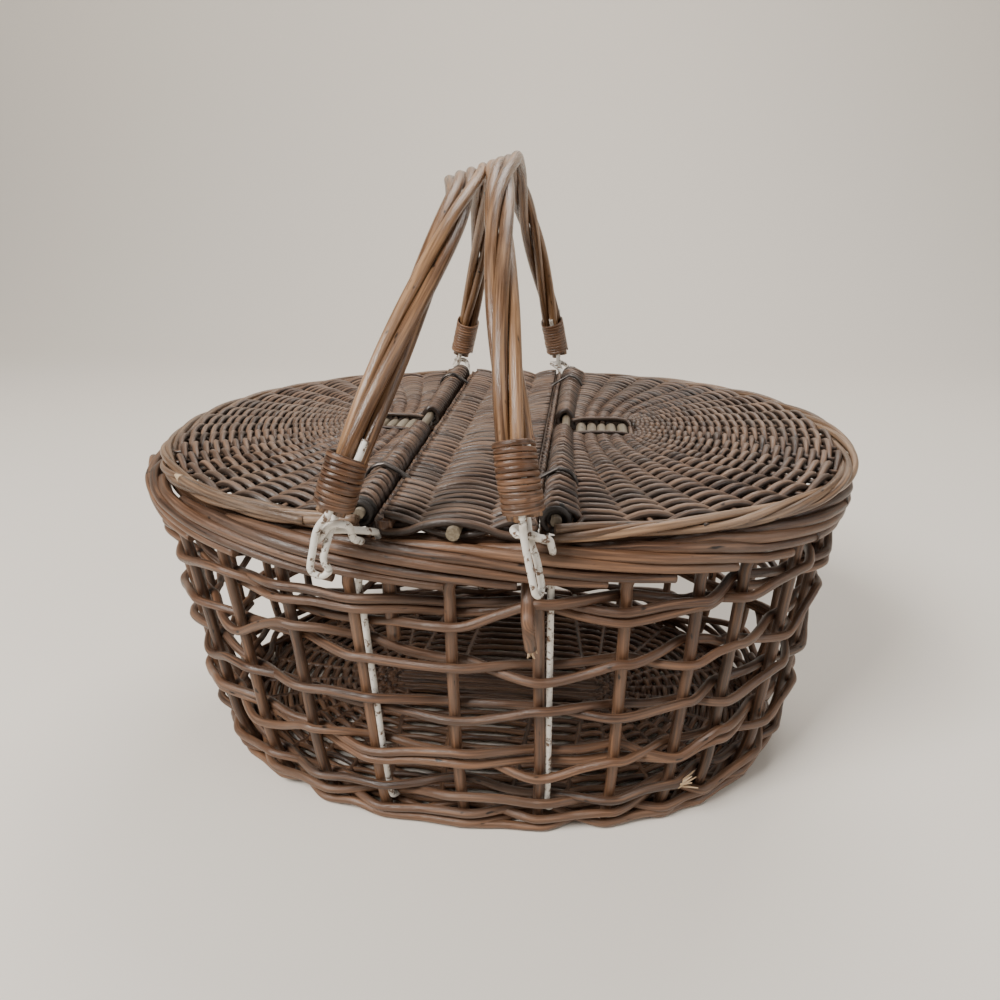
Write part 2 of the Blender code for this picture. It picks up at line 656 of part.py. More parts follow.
def lean_angle(pivot_x, apex_x):
    """How far a handle leans towards the other one."""
    return math.asin((apex_x - pivot_x) / HANDLE_HEIGHT)


def lean_route(points, pivot_x, lean):
    """Turns points of a handle from its own upright plane to its place on the basket."""
    cos, sin = math.cos(lean), math.sin(lean)
    return [Vector((pivot_x + p.x * cos + p.z * sin, p.y, PIVOT_Z - p.x * sin + p.z * cos)) for p in points]


def make_handle_rods(word, pivot_x, lean):
    """The twisted rods of a handle's bow."""
    line = bow_line()
    for k in range(HANDLE_RODS):
        route = []
        for n, point in enumerate(line):
            before, after = line[max(n - 1, 0)], line[min(n + 1, len(line) - 1)]
            tangent = (after - before).normalized()
            side = Vector((1, 0, 0))
            normal = tangent.cross(side)
            share = n / (len(line) - 1)
            turn = FULL_TURN * (k / HANDLE_RODS + (share - 0.5) * HANDLE_TWIST_TURNS)
            route.append(point + (side * math.cos(turn) + normal * math.sin(turn)) * BUNDLE_LINE)
        placed = lean_route(route, pivot_x, lean)
        rod(f"handle_{word}_rod_{k + 1}", placed, HANDLE_ROD_RADIUS, willow("handle_willow"))


def leg_point(height, y_sign):
    """Where the handle's middle line is at a height over the pivot, and its direction up."""
    share = (height / HANDLE_HEIGHT) ** HANDLE_POWER
    y = HANDLE_STANDOFF * (1 - share) ** (1 / HANDLE_POWER)
    step = CLEARANCE
    next_share = ((height + step) / HANDLE_HEIGHT) ** HANDLE_POWER
    next_y = HANDLE_STANDOFF * (1 - next_share) ** (1 / HANDLE_POWER)
    up = Vector((0, y_sign * (next_y - y), step)).normalized()
    return Vector((0, y_sign * y, height)), up


def make_wrap(word, pivot_x, lean, front):
    """Flat skein wound round a handle's foot, over the rods and the eye's wires."""
    y_sign = -1 if front else 1
    corner = math.cos(math.pi / WRAP_POINTS)
    reach_across = (BUNDLE_RADIUS + CLEARANCE + SKEIN_THICKNESS / 2) / corner
    reach_out = (BUNDLE_RADIUS + 3 * CLEARANCE + 2 * EYE_WIRE_RADIUS + SKEIN_THICKNESS / 2) / corner
    points, outs, alongs = [], [], []
    count = WRAP_TURNS * WRAP_POINTS
    for k in range(count + 1):
        height = WRAP_START + SKEIN_WIDTH / 2 + WRAP_PITCH * k / WRAP_POINTS
        middle, up = leg_point(height, y_sign)
        turn = FULL_TURN * k / WRAP_POINTS
        side = Vector((1, 0, 0))
        normal = up.cross(side)
        out = side * math.cos(turn) / reach_across + normal * math.sin(turn) / reach_out
        spot = middle + side * math.cos(turn) * reach_across + normal * math.sin(turn) * reach_out
        points.append(spot)
        outs.append(out.normalized())
        alongs.append(up)
    report_wrap_gap(word, points)
    placed = lean_route(points, pivot_x, lean)
    tip_outs = [b - a for a, b in zip(placed, lean_route([p + o for p, o in zip(points, outs)], pivot_x, lean))]
    tip_ups = [b - a for a, b in zip(placed, lean_route([p + u for p, u in zip(points, alongs)], pivot_x, lean))]
    name = f"handle_{word}_wrap_{'front' if front else 'back'}"
    sweep(name, placed, tip_outs, tip_ups, SKEIN_WIDTH / 2, SKEIN_THICKNESS / 2, willow("wrap_skein"))


def report_wrap_gap(word, points):
    """Prints the least gap between one turn of a wrap and the next."""
    gaps = [(b - a).length for a, b in zip(points, points[WRAP_POINTS:])]
    print(f"{word} wrap: least gap between turns {1000 * (min(gaps) - SKEIN_WIDTH):.2f} mm")


def make_eye(word, pivot_x, lean, front):
    """The wire eye at a handle's foot: up the bundle, down before the bow, and back through it."""
    y_sign = -1 if front else 1
    wire = EYE_WIRE_RADIUS
    beside = BUNDLE_RADIUS + CLEARANCE + wire
    top = WRAP_START + WRAP_TURNS * WRAP_PITCH + SKEIN_WIDTH + EYE_STUB
    outer, inner = [], []
    for height in np.linspace(top, HANDLE_FOOT, 4):
        middle, up = leg_point(height, y_sign)
        normal = Vector((0, y_sign, 0)) - up * up.y * y_sign
        outer.append(middle + normal.normalized() * beside)
        inner.append(middle - normal.normalized() * beside)
    tail = y_sign * EYE_TAIL_FRONT
    half = EYE_TAIL_WIDTH / 2
    low = -EYE_TAIL_LENGTH
    front_side = [Vector((-half, tail, wire * 2)), Vector((-half, tail, low + half))]
    round_end = []
    for k in range(RING_POINTS + 1):
        turn = math.pi + math.pi * k / RING_POINTS
        round_end.append(Vector((half * math.cos(turn), tail, low + half + half * math.sin(turn))))
    back_side = [Vector((half, tail, -STAPLE_BOW_RADIUS - wire * 2)), Vector((0, y_sign * STAPLE_STANDOFF, 0))]
    behind = inner[-1] + Vector((0, 0, -wire))
    corners = outer + front_side + round_end[1:] + back_side + [behind] + list(reversed(inner))[1:]
    placed = lean_route(corners, pivot_x, lean)
    name = f"handle_{word}_eye_{'front' if front else 'back'}"
    rod(name, rounded(placed, wire * 2), wire, white_wire())


def make_handle(word, pivot_x, apex_x):
    """One handle with its wraps and eyes, and the staples that hold it."""
    lean = lean_angle(pivot_x, apex_x)
    make_handle_rods(word, pivot_x, lean)
    for front in (True, False):
        make_wrap(word, pivot_x, lean, front)
        make_eye(word, pivot_x, lean, front)
        make_staple(word, pivot_x, front)
    print(f"{word} handle leans {math.degrees(lean):.2f} degrees")


def main():
    """Makes the whole basket."""
    clear_scene()
    make_floor()
    make_stakes()
    make_weavers()
    make_rim()
    make_strip()
    for word, side in (("left", -1), ("right", 1)):
        make_lid(word, side)
        make_hinge_rings(word, side)
    reach = BUNDLE_RADIUS + MEETING_GAP / 2
    make_handle("left", LEFT_PIVOT_X, HANDLE_MEETING_X - reach)
    make_handle("right", RIGHT_PIVOT_X, HANDLE_MEETING_X + reach)


main()
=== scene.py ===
# %% [markdown]
# # An oval wicker picnic basket
# The basket is open-sided willow work. A fixed strip crosses the middle, a lid is hinged on each side of
# it, and two bow handles hang in wire staples. The solids that were packed for physics come in first, as
# a frame. Nothing in the frame moves: each step below makes one part of the basket around it, as fine as
# a close look at the real one shows.

# %% The frame
import math

import bmesh
import bpy
import numpy as np
from mathutils import Matrix, Vector


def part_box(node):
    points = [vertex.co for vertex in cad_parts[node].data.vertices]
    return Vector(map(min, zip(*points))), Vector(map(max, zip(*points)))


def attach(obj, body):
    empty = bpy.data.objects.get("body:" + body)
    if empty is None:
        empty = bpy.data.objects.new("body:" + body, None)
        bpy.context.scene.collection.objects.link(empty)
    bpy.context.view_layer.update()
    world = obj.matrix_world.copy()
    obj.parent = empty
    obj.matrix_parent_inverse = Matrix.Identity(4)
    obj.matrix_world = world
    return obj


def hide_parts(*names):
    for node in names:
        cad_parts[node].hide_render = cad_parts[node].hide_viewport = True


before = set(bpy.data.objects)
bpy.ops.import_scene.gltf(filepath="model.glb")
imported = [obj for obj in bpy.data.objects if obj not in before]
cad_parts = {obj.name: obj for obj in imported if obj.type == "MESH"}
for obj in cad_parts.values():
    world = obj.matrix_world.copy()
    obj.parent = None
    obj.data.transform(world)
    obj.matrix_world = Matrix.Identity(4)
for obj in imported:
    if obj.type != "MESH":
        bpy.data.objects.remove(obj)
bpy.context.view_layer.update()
rim_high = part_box("rim_rod_top")[1]
SIDES = {"left": -1, "right": 1}
ENDS = {"front": -1, "back": 1}

# %% [markdown]
# ## Camera
# The camera was placed by fitting the basket's outline and stakes to the picture: it stands in front,
# a little to the right, and looks down by about 22 degrees. A turn about Z, then a tilt, then a very
# small roll gives that view.

# %% The camera
CAMERA_PLACE = (0.0591, -0.4846, 0.357)
CAMERA_TURN, CAMERA_DOWN, CAMERA_ROLL = 0.11473, 0.38552, -0.0093
eye = bpy.data.cameras.new("eye")
eye.lens = 27.06
eye.sensor_width = 36
eye.clip_start = 0.01
camera = bpy.data.objects.new("camera", eye)
bpy.context.collection.objects.link(camera)
camera.matrix_world = Matrix.Translation(CAMERA_PLACE)
for angle, axis in ((CAMERA_TURN, "Z"), (math.pi / 2 - CAMERA_DOWN, "X"), (CAMERA_ROLL, "Z")):
    camera.matrix_world = camera.matrix_world @ Matrix.Rotation(angle, 4, axis)
bpy.context.scene.camera = camera
print("camera looks down by", round(math.degrees(CAMERA_DOWN), 1), "degrees")

# %% [markdown]
# ## Floor and light
# A plain pale floor and large soft lights show willow well: the light is broad enough to keep the gaps of
# the weave readable, and one side is brighter so that each rod gets a lit side and a shaded side.

# %% Floor and light
STAGE_HALF_WIDTH, STAGE_BELOW = 5.0, 0.0004
WALL_FROM, WALL_BEND, WALL_TOP, WALL_STEPS = 1.2, 0.8, 4.0, 12


def new_finish(name):
    """A new finish, its tree of nodes and its shader."""
    made = bpy.data.materials.new(name)
    made.use_nodes = True
    return made, made.node_tree, made.node_tree.nodes["Principled BSDF"]


def make_floor_stage():
    """A wide pale floor that runs up behind into a wall, in one smooth curve."""
    finish, _, shader = new_finish("studio_pale")
    shader.inputs["Base Color"].default_value = (0.78, 0.73, 0.66, 1)
    shader.inputs["Roughness"].default_value = 0.85
    profile = [(-4.0, 0.0), (WALL_FROM, 0.0)]
    for k in range(1, WALL_STEPS + 1):
        turn = math.pi / 2 * k / WALL_STEPS
        profile.append((WALL_FROM + WALL_BEND * math.sin(turn), WALL_BEND * (1 - math.cos(turn))))
    profile.append((WALL_FROM + WALL_BEND, WALL_TOP))
    shape = bmesh.new()
    edges = (-STAGE_HALF_WIDTH, STAGE_HALF_WIDTH)
    rows = [[shape.verts.new((x, y, z - STAGE_BELOW)) for y, z in profile] for x in edges]
    for k in range(len(profile) - 1):
        shape.faces.new((rows[0][k], rows[1][k], rows[1][k + 1], rows[0][k + 1]))
    data = bpy.data.meshes.new("studio_floor")
    shape.to_mesh(data)
    shape.free()
    data.shade_smooth()
    data.materials.append(finish)
    thing = bpy.data.objects.new("studio_floor", data)
    bpy.context.collection.objects.link(thing)


def add_light(name, place, size, watts, colour):
    """A square area light that points at the middle of the basket."""
    lamp = bpy.data.lights.new(name, "AREA")
    lamp.size = size
    lamp.energy = watts
    lamp.color = colour
    thing = bpy.data.objects.new(name, lamp)
    thing.location = place
    thing.rotation_euler = (Vector((0, 0, 0.15)) - Vector(place)).to_track_quat("-Z", "Y").to_euler()
    bpy.context.collection.objects.link(thing)


make_floor_stage()
add_light("window_light", (-1.1, -1.3, 1.9), 0.9, 88, (1.0, 0.97, 0.93))
add_light("side_fill", (1.8, -0.7, 1.1), 1.2, 14, (1.0, 0.98, 0.96))
add_light("back_light", (0.3, 1.1, 1.8), 1.2, 22, (1.0, 0.97, 0.94))
world = bpy.data.worlds.new("soft_room")
world.use_nodes = True
room = world.node_tree.nodes["Background"].inputs
room["Color"].default_value = (0.88, 0.85, 0.80, 1)
room["Strength"].default_value = 0.24
bpy.context.scene.world = world
print("floor, three lights and a soft room")

# %% [markdown]
# ## How a willow rod is made here
# Every part of the basket is a rod, a skein or a wire, so one helper makes them all. A curve with a bevel
# could draw a single rod, but a lid alone has dozens. Here many rods go into one mesh: each is a route of
# points with a ring of vertices round each point. Two attributes are kept on the vertices for the
# finishes: how far along its own rod a vertex lies and on which side, and a number of its own for each
# rod, so that no two rods take quite the same colour.

# %% Routes of rods
dice = np.random.default_rng(20)
OVAL_POWER = 2.25
X_AXIS, Y_AXIS, Z_UP = np.eye(3)


def placed(x, y, z):
    """Points of a route from their coordinates, each of which is one number or one for each point."""
    return np.stack(np.broadcast_arrays(x, y, z), -1)


def flowing(corners, per=4, closed=False):
    """A smooth route through points, with several steps from each point to the next."""
    p = np.asarray(corners, float)
    if closed:
        before, after, beyond = np.roll(p, 1, 0), np.roll(p, -1, 0), np.roll(p, -2, 0)
    else:
        padded = np.vstack((2 * p[0] - p[1], p, 2 * p[-1] - p[-2]))
        before, p, after, beyond = padded[:-3], padded[1:-2], padded[2:-1], padded[3:]
    t = np.linspace(0, 1, per, endpoint=False)[None, :, None]
    a, b, c, d = (q[:, None, :] for q in (before, p, after, beyond))
    route = 0.5 * (2 * b + (c - a) * t + (2 * a - 5 * b + 4 * c - d) * t**2 + (3 * b - a - 3 * c + d) * t**3)
    route = route.reshape(-1, 3)
    return route if closed else np.vstack((route, after[-1]))


def wavering(count, size, steps=9):
    """A slow random wander of about the given size, one value for each point of a route."""
    knots = dice.normal(0, size, max(int(count / steps) + 2, 3))
    return np.interp(np.linspace(0, len(knots) - 1, count), np.arange(len(knots)), knots)


def unit(v):
    """Vectors of length one."""
    return v / np.maximum(np.linalg.norm(v, axis=-1, keepdims=True), 1e-12)


def signed_power(v, power):
    """A power of numbers that keeps their signs, for ovals that are fuller than an ellipse and for waves."""
    return np.sign(v) * np.abs(v) ** power


def oval(turn, a, b, power=OVAL_POWER):
    """Both coordinates of points on an oval by turn, with half axes a and b."""
    return a * signed_power(np.cos(turn), 2 / power), b * signed_power(np.sin(turn), 2 / power)


def oval_at(x, a, b, power=OVAL_POWER):
    """How far out an oval with half axes a and b lies, at a distance x from its middle along a."""
    return b * (1 - (x / a) ** power) ** (1 / power)


def distance_run(line):
    """How far along a polyline each of its points lies."""
    return np.concatenate(([0], np.cumsum(np.linalg.norm(np.diff(line, axis=0), axis=1))))


def along(line, share):
    """The point of a polyline at a share of its length, for many shares at once."""
    run = distance_run(line)
    spots = np.asarray(share) * run[-1]
    return np.stack([np.interp(spots, run, values) for values in line.T], -1)


# %% Many rods in one mesh
def tube(route, radius, up=Z_UP, sides=10, closed=False, flat=1.0):
    """Vertices, faces and attributes of one rod; flat under 1 presses it thinner along up."""
    p = np.asarray(route, float)
    n = len(p)
    ahead = unit(np.roll(p, -1, 0) - np.roll(p, 1, 0) if closed else np.gradient(p, axis=0))
    up = np.broadcast_to(np.asarray(up, float), p.shape)
    high = unit(up - (up * ahead).sum(-1, keepdims=True) * ahead)
    side = np.cross(ahead, high)
    r = np.broadcast_to(np.asarray(radius, float), (n,))[:, None, None]
    turn = np.linspace(0, 2 * math.pi, sides, endpoint=False)
    cos, sin = np.cos(turn)[None, :, None], np.sin(turn)[None, :, None]
    rings = p[:, None, :] + r * (cos * side[:, None, :] + flat * sin * high[:, None, :])
    grain = np.empty((n, sides, 3))
    grain[..., 0] = distance_run(p)[:, None]
    grain[..., 1:2] = r * cos
    grain[..., 2:3] = r * sin
    row = np.arange(n if closed else n - 1)[:, None] * sides
    i = (row + np.arange(sides)).reshape(-1)
    j = (row + (np.arange(sides) + 1) % sides).reshape(-1)
    faces = np.stack((i, j, (j + sides) % (n * sides), (i + sides) % (n * sides)), 1)
    caps = [] if closed else [list(range(sides))[::-1], list(range((n - 1) * sides, n * sides))]
    return rings.reshape(-1, 3), faces, caps, grain.reshape(-1, 3)


def bundle(name, rods, finish, body, stands_for=()):
    """Puts many rods, each made by tube, into one piece that rides on a body of the frame."""
    verts, faces, grains, numbers, smooth = [], [], [], [], []
    start = 0
    for points, quads, caps, grain in rods:
        verts.append(points)
        grains.append(grain)
        numbers.append(np.full(len(points), dice.random()))
        faces += (quads + start).tolist() + [[v + start for v in cap] for cap in caps]
        smooth += [True] * len(quads) + [False] * len(caps)
        start += len(points)
    data = bpy.data.meshes.new(name)
    data.from_pydata(np.vstack(verts).tolist(), [], faces)
    data.polygons.foreach_set("use_smooth", smooth)
    grain = data.attributes.new("grain", "FLOAT_VECTOR", "POINT")
    grain.data.foreach_set("vector", np.vstack(grains).ravel())
    number = data.attributes.new("rod_number", "FLOAT", "POINT")
    number.data.foreach_set("value", np.concatenate(numbers))
    data.materials.append(finish)
    data.validate()
    piece = bpy.data.objects.new(name, data)
    bpy.context.collection.objects.link(piece)
    if stands_for:
        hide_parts(*stands_for)
    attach(piece, body)
    print(f"{name}: {len(rods)} rods, {len(faces)} faces")

# %% [markdown]
# ## Willow finishes
# Old willow is brown, but never one brown. The colour changes from rod to rod, runs in thin streaks along
# each rod, and turns grey where dust has settled. Small dark knots sit where buds were. The streaks come
# from noise that is squeezed across the rod and stretched along it, read through the grain attribute, so
# they follow every bend. They change the gloss too, and finer streaks of the same kind raise the bump. On
# the lids and the strip, what faces down is darkened as well, toward the colour of the knots: this is
# painted shade, which deepens the gaps of the close weave.

# %% Helpers for shader nodes
BLACK, WHITE = (0, 0, 0), (1, 1, 1)


def connect(tree, made, inputs):
    """Fills a node's inputs: each is linked when it is given a socket and set when it is given a value."""
    for key, value in inputs.items():
        if isinstance(value, bpy.types.NodeSocket):
            tree.links.new(value, made.inputs[key])
        else:
            made.inputs[key].default_value = value


def node(tree, kind, inputs=(), **settings):
    """Adds one shader node to the right of the others, with its settings and inputs."""
    made = tree.nodes.new(kind)
    made.location = (220 * len(tree.nodes) - 4000, 400)
    for key, value in settings.items():
        setattr(made, key, value)
    connect(tree, made, dict(inputs))
    return made


def ramp(tree, value, stops):
    """The colour that a value has on a ramp with the given stops."""
    made = node(tree, "ShaderNodeValToRGB", {0: value})
    bar = made.color_ramp
    while len(bar.elements) < len(stops):
        bar.elements.new(0.5)
    for element, (position, colour) in zip(bar.elements, stops):
        element.position = position
        element.color = (*colour, 1)
    return made.outputs[0]


def mix(tree, factor, first, second):
    """Mixes two colours, each a socket or a plain colour."""
    first, second = ((*c, 1) if isinstance(c, tuple) else c for c in (first, second))
    return node(tree, "ShaderNodeMix", {0: factor, 6: first, 7: second}, data_type="RGBA").outputs[2]


def blotches(tree, place, scale, detail=2.0, roughness=0.5):
    """Noise that is fixed to the basket, not to its rods."""
    inputs = {"Vector": place.outputs["Object"], "Scale": scale, "Detail": detail, "Roughness": roughness}
    return node(tree, "ShaderNodeTexNoise", inputs).outputs["Fac"]


def streaks(tree, lengthwise, across, detail=4.0):
    """Noise along a rod, different on every rod; both scales say how often it changes in a metre."""
    grain = node(tree, "ShaderNodeAttribute", attribute_name="grain").outputs["Vector"]
    number = node(tree, "ShaderNodeAttribute", attribute_name="rod_number").outputs["Fac"]
    stretch = {0: grain, 1: (lengthwise, across, across)}
    stretch = node(tree, "ShaderNodeVectorMath", stretch, operation="MULTIPLY").outputs[0]
    apart = node(tree, "ShaderNodeMath", {0: number, 1: 300.0}, operation="MULTIPLY").outputs[0]
    inputs = {"Vector": stretch, "W": apart, "Scale": 1.0, "Detail": detail}
    return node(tree, "ShaderNodeTexNoise", inputs, noise_dimensions="4D").outputs["Fac"]


# %% A willow finish
def willow_finish(name, dark, middle, light, dust, dusty, gloss=(0.42, 0.68), streak=1.0, painted_shade=0.0):
    """Willow in three browns, with dust, knots, fine streaks and a dry gloss, and painted shade on what
    faces down.
    """
    made, tree, shader = new_finish(name)
    place = node(tree, "ShaderNodeTexCoord")
    number = node(tree, "ShaderNodeAttribute", attribute_name="rod_number").outputs["Fac"]
    per_rod = ramp(tree, number, [(0.0, dark), (0.45, middle), (0.8, light), (1.0, middle)])
    long_streaks = streaks(tree, 30.0, 900.0 * streak)
    shade = ramp(tree, long_streaks, [(0.36, dark), (0.51, middle), (0.65, light)])
    wood = mix(tree, 0.55, per_rod, shade)
    dust_mask = ramp(tree, blotches(tree, place, 22.0, 5.0), [(0.42, BLACK), (0.66, (dusty,) * 3)])
    dusted = mix(tree, dust_mask, wood, dust)
    knot_mask = ramp(tree, streaks(tree, 130.0, 300.0, 1.0), [(0.24, WHITE), (0.31, BLACK)])
    knot_and_shade_colour = tuple(0.45 * c for c in dark)
    knotted = mix(tree, knot_mask, dusted, knot_and_shade_colour)
    # Painted shade: what faces sideways or down is darkened toward the knots' colour, by the share
    # painted_shade.
    facing = node(tree, "ShaderNodeSeparateXYZ", {0: place.outputs["Normal"]}).outputs["Z"]
    painted_shade_mask = ramp(tree, facing, [(0.30, (painted_shade,) * 3), (0.92, BLACK)])
    coloured = mix(tree, painted_shade_mask, knotted, knot_and_shade_colour)
    rough = {"Value": long_streaks, "From Min": 0.3, "From Max": 0.7, "To Min": gloss[0], "To Max": gloss[1]}
    rough = node(tree, "ShaderNodeMapRange", rough).outputs["Result"]
    bump = {"Strength": 0.55, "Distance": 0.0006, "Height": streaks(tree, 90.0, 2600.0 * streak, 5.0)}
    bump = node(tree, "ShaderNodeBump", bump).outputs["Normal"]
    connect(tree, shader, {"Base Color": coloured, "Roughness": rough, "Normal": bump})
    return made


side_willow = willow_finish(
    "sides_brown", (0.018, 0.009, 0.005), (0.083, 0.039, 0.021), (0.235, 0.120, 0.062),
    (0.17, 0.125, 0.095), 0.20, (0.26, 0.55))
# The willow of the lids and the strip carries painted shade on what faces down.
lid_willow = willow_finish(
    "lids_grey_brown", (0.022, 0.012, 0.008), (0.096, 0.052, 0.032), (0.270, 0.162, 0.102),
    (0.22, 0.165, 0.125), 0.30, (0.27, 0.56), painted_shade=0.85)
border_willow = willow_finish(
    "lid_borders_golden", (0.028, 0.014, 0.007), (0.122, 0.066, 0.036), (0.340, 0.210, 0.122),
    (0.24, 0.185, 0.14), 0.25, (0.22, 0.46))
# Painted shade: a near-black finish for the rings that fill the mouths of the lids' rolls.
painted_mouth_shade = willow_finish(
    "mouth_shade_black", (0.008, 0.006, 0.005), (0.018, 0.014, 0.012), (0.045, 0.036, 0.030),
    (0.05, 0.042, 0.036), 0.2)
slath_sticks = willow_finish(
    "slath_khaki", (0.120, 0.090, 0.055), (0.205, 0.165, 0.110), (0.300, 0.250, 0.180),
    (0.27, 0.24, 0.20), 0.4)
handle_willow = willow_finish(
    "handles_warm", (0.035, 0.015, 0.007), (0.155, 0.076, 0.034), (0.400, 0.225, 0.110),
    (0.22, 0.16, 0.115), 0.18, (0.20, 0.40), 0.8)
wrap_skein = willow_finish(
    "skein_orange", (0.030, 0.012, 0.005), (0.128, 0.058, 0.027), (0.310, 0.158, 0.080),
    (0.24, 0.17, 0.12), 0.25, (0.22, 0.46))
fresh_break = willow_finish(
    "break_pale", (0.300, 0.190, 0.100), (0.480, 0.340, 0.200), (0.620, 0.480, 0.320),
    (0.40, 0.32, 0.24), 0.2)

# %% [markdown]
# ## The weave of a lid
# A lid is half an oval. Its ribs start at the slath, the short bound sticks in the middle of the hinged
# side, and fan out to the border. Weavers run round the slath in rows, over one rib and under the next,
# and the following row does the opposite. A flat sheet with a bump could imitate this from far away, but
# its edge and its gaps would look wrong, so every weaver is a real rod. One rule places them all: a point
# of a lid is given by its rib number and its row, and a wave lifts it over or drops it under each rib.

# %% Outlines of a lid
LIDS_A, LIDS_B, LIDS_SHIFT = 0.220, 0.170, 0.006
LID_BAR_X, LID_BAR_Z, LID_BAR_RADIUS = 0.0478, 0.2135, 0.008
LID_RIBS, LID_ROWS = 22, 48
FLANK_RIBS = 5.0
SLATH_START, SLATH_END, SLATH_HALF = 0.0545, 0.0886, 0.0160
SLATH_BULGE = 0.006
LID_EDGE = 0.0095
LID_MIDDLE_Z = 0.2107
LID_WAVE, WAVE_POWER = 0.0029, 0.8
WEAVER_RADIUS = 0.0020


def half_oval(side, inset):
    """A lid's outline from its front end to its back end, as evenly spaced points of a fine polyline."""
    reach = abs(side * LID_BAR_X - LIDS_SHIFT)
    turn_from = math.acos((reach / (LIDS_A - inset)) ** (OVAL_POWER / 2))
    x, y = oval(np.linspace(-turn_from, turn_from, 1500), LIDS_A - inset, LIDS_B - inset)
    return np.stack((side * x + LIDS_SHIFT, y), 1)


def slath_edge(side, q):
    """Where rib number q leaves the slath, and the direction it leaves in."""
    q = np.asarray(q, float)
    last = LID_RIBS - FLANK_RIBS
    angle = -math.pi / 2 + math.pi * np.clip((q - FLANK_RIBS) / (last - FLANK_RIBS), 0, 1)
    x_end = SLATH_END + SLATH_BULGE * np.cos(angle)
    y_end = (SLATH_HALF + 0.002) * np.sin(angle)
    share = np.clip(np.minimum(q, LID_RIBS - q) / FLANK_RIBS, 0, 1)
    x = np.where((q < FLANK_RIBS) | (q > last), LID_BAR_X + (SLATH_END - LID_BAR_X) * share, x_end)
    out = np.stack((side * np.cos(angle), np.sin(angle)), -1)
    return np.stack((side * x, y_end), -1), out


def lid_point(side, q, s, outline):
    """A point of the lid's middle surface at rib number q and row share s."""
    q, s = np.broadcast_arrays(np.asarray(q, float), np.asarray(s, float))
    inner, out = slath_edge(side, q)
    outer = along(outline, q / LID_RIBS)
    reach = np.linalg.norm(outer - inner, axis=-1, keepdims=True)
    lead = inner + out * reach * 0.30
    s = s[..., None]
    return inner * (1 - s) ** 2 + lead * 2 * s * (1 - s) + outer * s**2


print("a lid has", LID_RIBS - 1, "ribs and", LID_ROWS, "rows")

# %% [markdown]
# At the hinged side each weaver turns round the bar and comes back as the next row. That turn is what
# makes the rolled look of the bar: the roll is nothing but the weavers' own bends, side by side, with a
# thin stick inside. So each pair of rows ends in a half turn round the bar here too. The strip between
# the lids is woven by the same rule, and its weavers turn round its edge sticks.

# %% Weavers, ribs and roll of a lid
def woven_pairs(rows, turn_at_start, turn_at_end, radius_of):
    """Rods for rows of weaving; each second row is joined to the one before by a turn at both ends."""
    rods = []
    for going, coming in zip(rows[::2], rows[1::2]):
        start = turn_at_start(going[0], coming[0])[::-1]
        end = turn_at_end(going[-1], coming[-1])
        for route in (np.vstack((start, going, end)), coming):
            rods.append(tube(route, radius_of(route), sides=8))
    return rods


def lid_height(q, row):
    """Height of a weaver over the lid's middle surface: over one rib and under the next."""
    wave = np.cos(math.pi * (q + row))
    edge = np.clip(1 - np.minimum(q, LID_RIBS - q), 0, 1) ** 1.3
    over_bar = (LID_BAR_Z - LID_MIDDLE_Z) + np.sign(wave) * (LID_BAR_RADIUS - WEAVER_RADIUS)
    return LID_WAVE * signed_power(wave, WAVE_POWER) * (1 - edge) + over_bar * edge


def lid_row(side, row, outline):
    """One weaver's route from the front end of the hinge bar to its back end."""
    q = np.linspace(0, LID_RIBS, LID_RIBS * 5 + 1)
    s = (row + 0.5) / LID_ROWS + wavering(len(q), 0.0022, 7)
    xy = lid_point(side, q, s, outline)
    z = LID_MIDDLE_Z + lid_height(q, row) + wavering(len(q), 0.00018, 6)
    return np.column_stack((xy, z))


def make_lid_weave(word, side):
    """All weavers of one lid, and its ribs."""
    def bar_turn(start, end):
        """A weaver's turn round the hinge bar, from its top at one row to its underside at the next."""
        turn = np.linspace(0, math.pi, 9)[1:-1]
        reach = LID_BAR_RADIUS - WEAVER_RADIUS
        x = side * LID_BAR_X - side * reach * np.sin(turn)
        y = start[1] + (end[1] - start[1]) * (turn / math.pi)
        return placed(x, y, LID_BAR_Z + reach * np.cos(turn))

    def uneven_radius(route):
        """A weaver's own thickness, which changes a little along it."""
        return WEAVER_RADIUS * (1 + wavering(len(route), 0.05, 10)) * dice.uniform(0.93, 1.08)

    outline = half_oval(side, LID_EDGE)
    rows = [lid_row(side, row, outline) for row in range(LID_ROWS)]
    rods = woven_pairs(rows, bar_turn, bar_turn, uneven_radius)
    bundle(f"lid_{word}_weave", rods, lid_willow, f"lid_{word}", [f"lid_{word}_panel"])
    ribs = []
    for q in range(1, LID_RIBS):
        s = np.linspace(-0.03, 1.04, 14)
        xy = lid_point(side, q, s, outline)
        z = LID_MIDDLE_Z + wavering(len(s), 0.0002, 5)
        ribs.append(tube(np.column_stack((xy, z)), np.linspace(0.0020, 0.0014, len(s)), sides=8))
    bundle(f"lid_{word}_ribs", ribs, lid_willow, f"lid_{word}")


for word, side in SIDES.items():
    make_lid_weave(word, side)

# %% [markdown]
# ## Slath, bar and border of a lid
# The slath is where a lid begins: a few short thick sticks side by side, held by two thin rods across
# them and one along their far side. The bar is a plain stick inside the roll of weavers, and its cut end
# shows in the roll's dark mouth, where near-black rings round the bar are painted shade. The border is
# several long rods that run round the lid's edge in slow twists, so that now one and now the other lies
# outside. One of them has come up on the left lid.

# %% Slath sticks and bar
SLATH_STICK_RADIUS, SLATH_COUNT, SLATH_Z, SLATH_DIP = 0.0034, 5, 0.2100, 0.0016
BAR_HALF_LENGTH, BAR_STICK_RADIUS = 0.1592, 0.0027
MOUTH_SHADE_RINGS = ((0.0040, 0.1545), (0.0060, 0.1562), (0.0066, 0.1530))


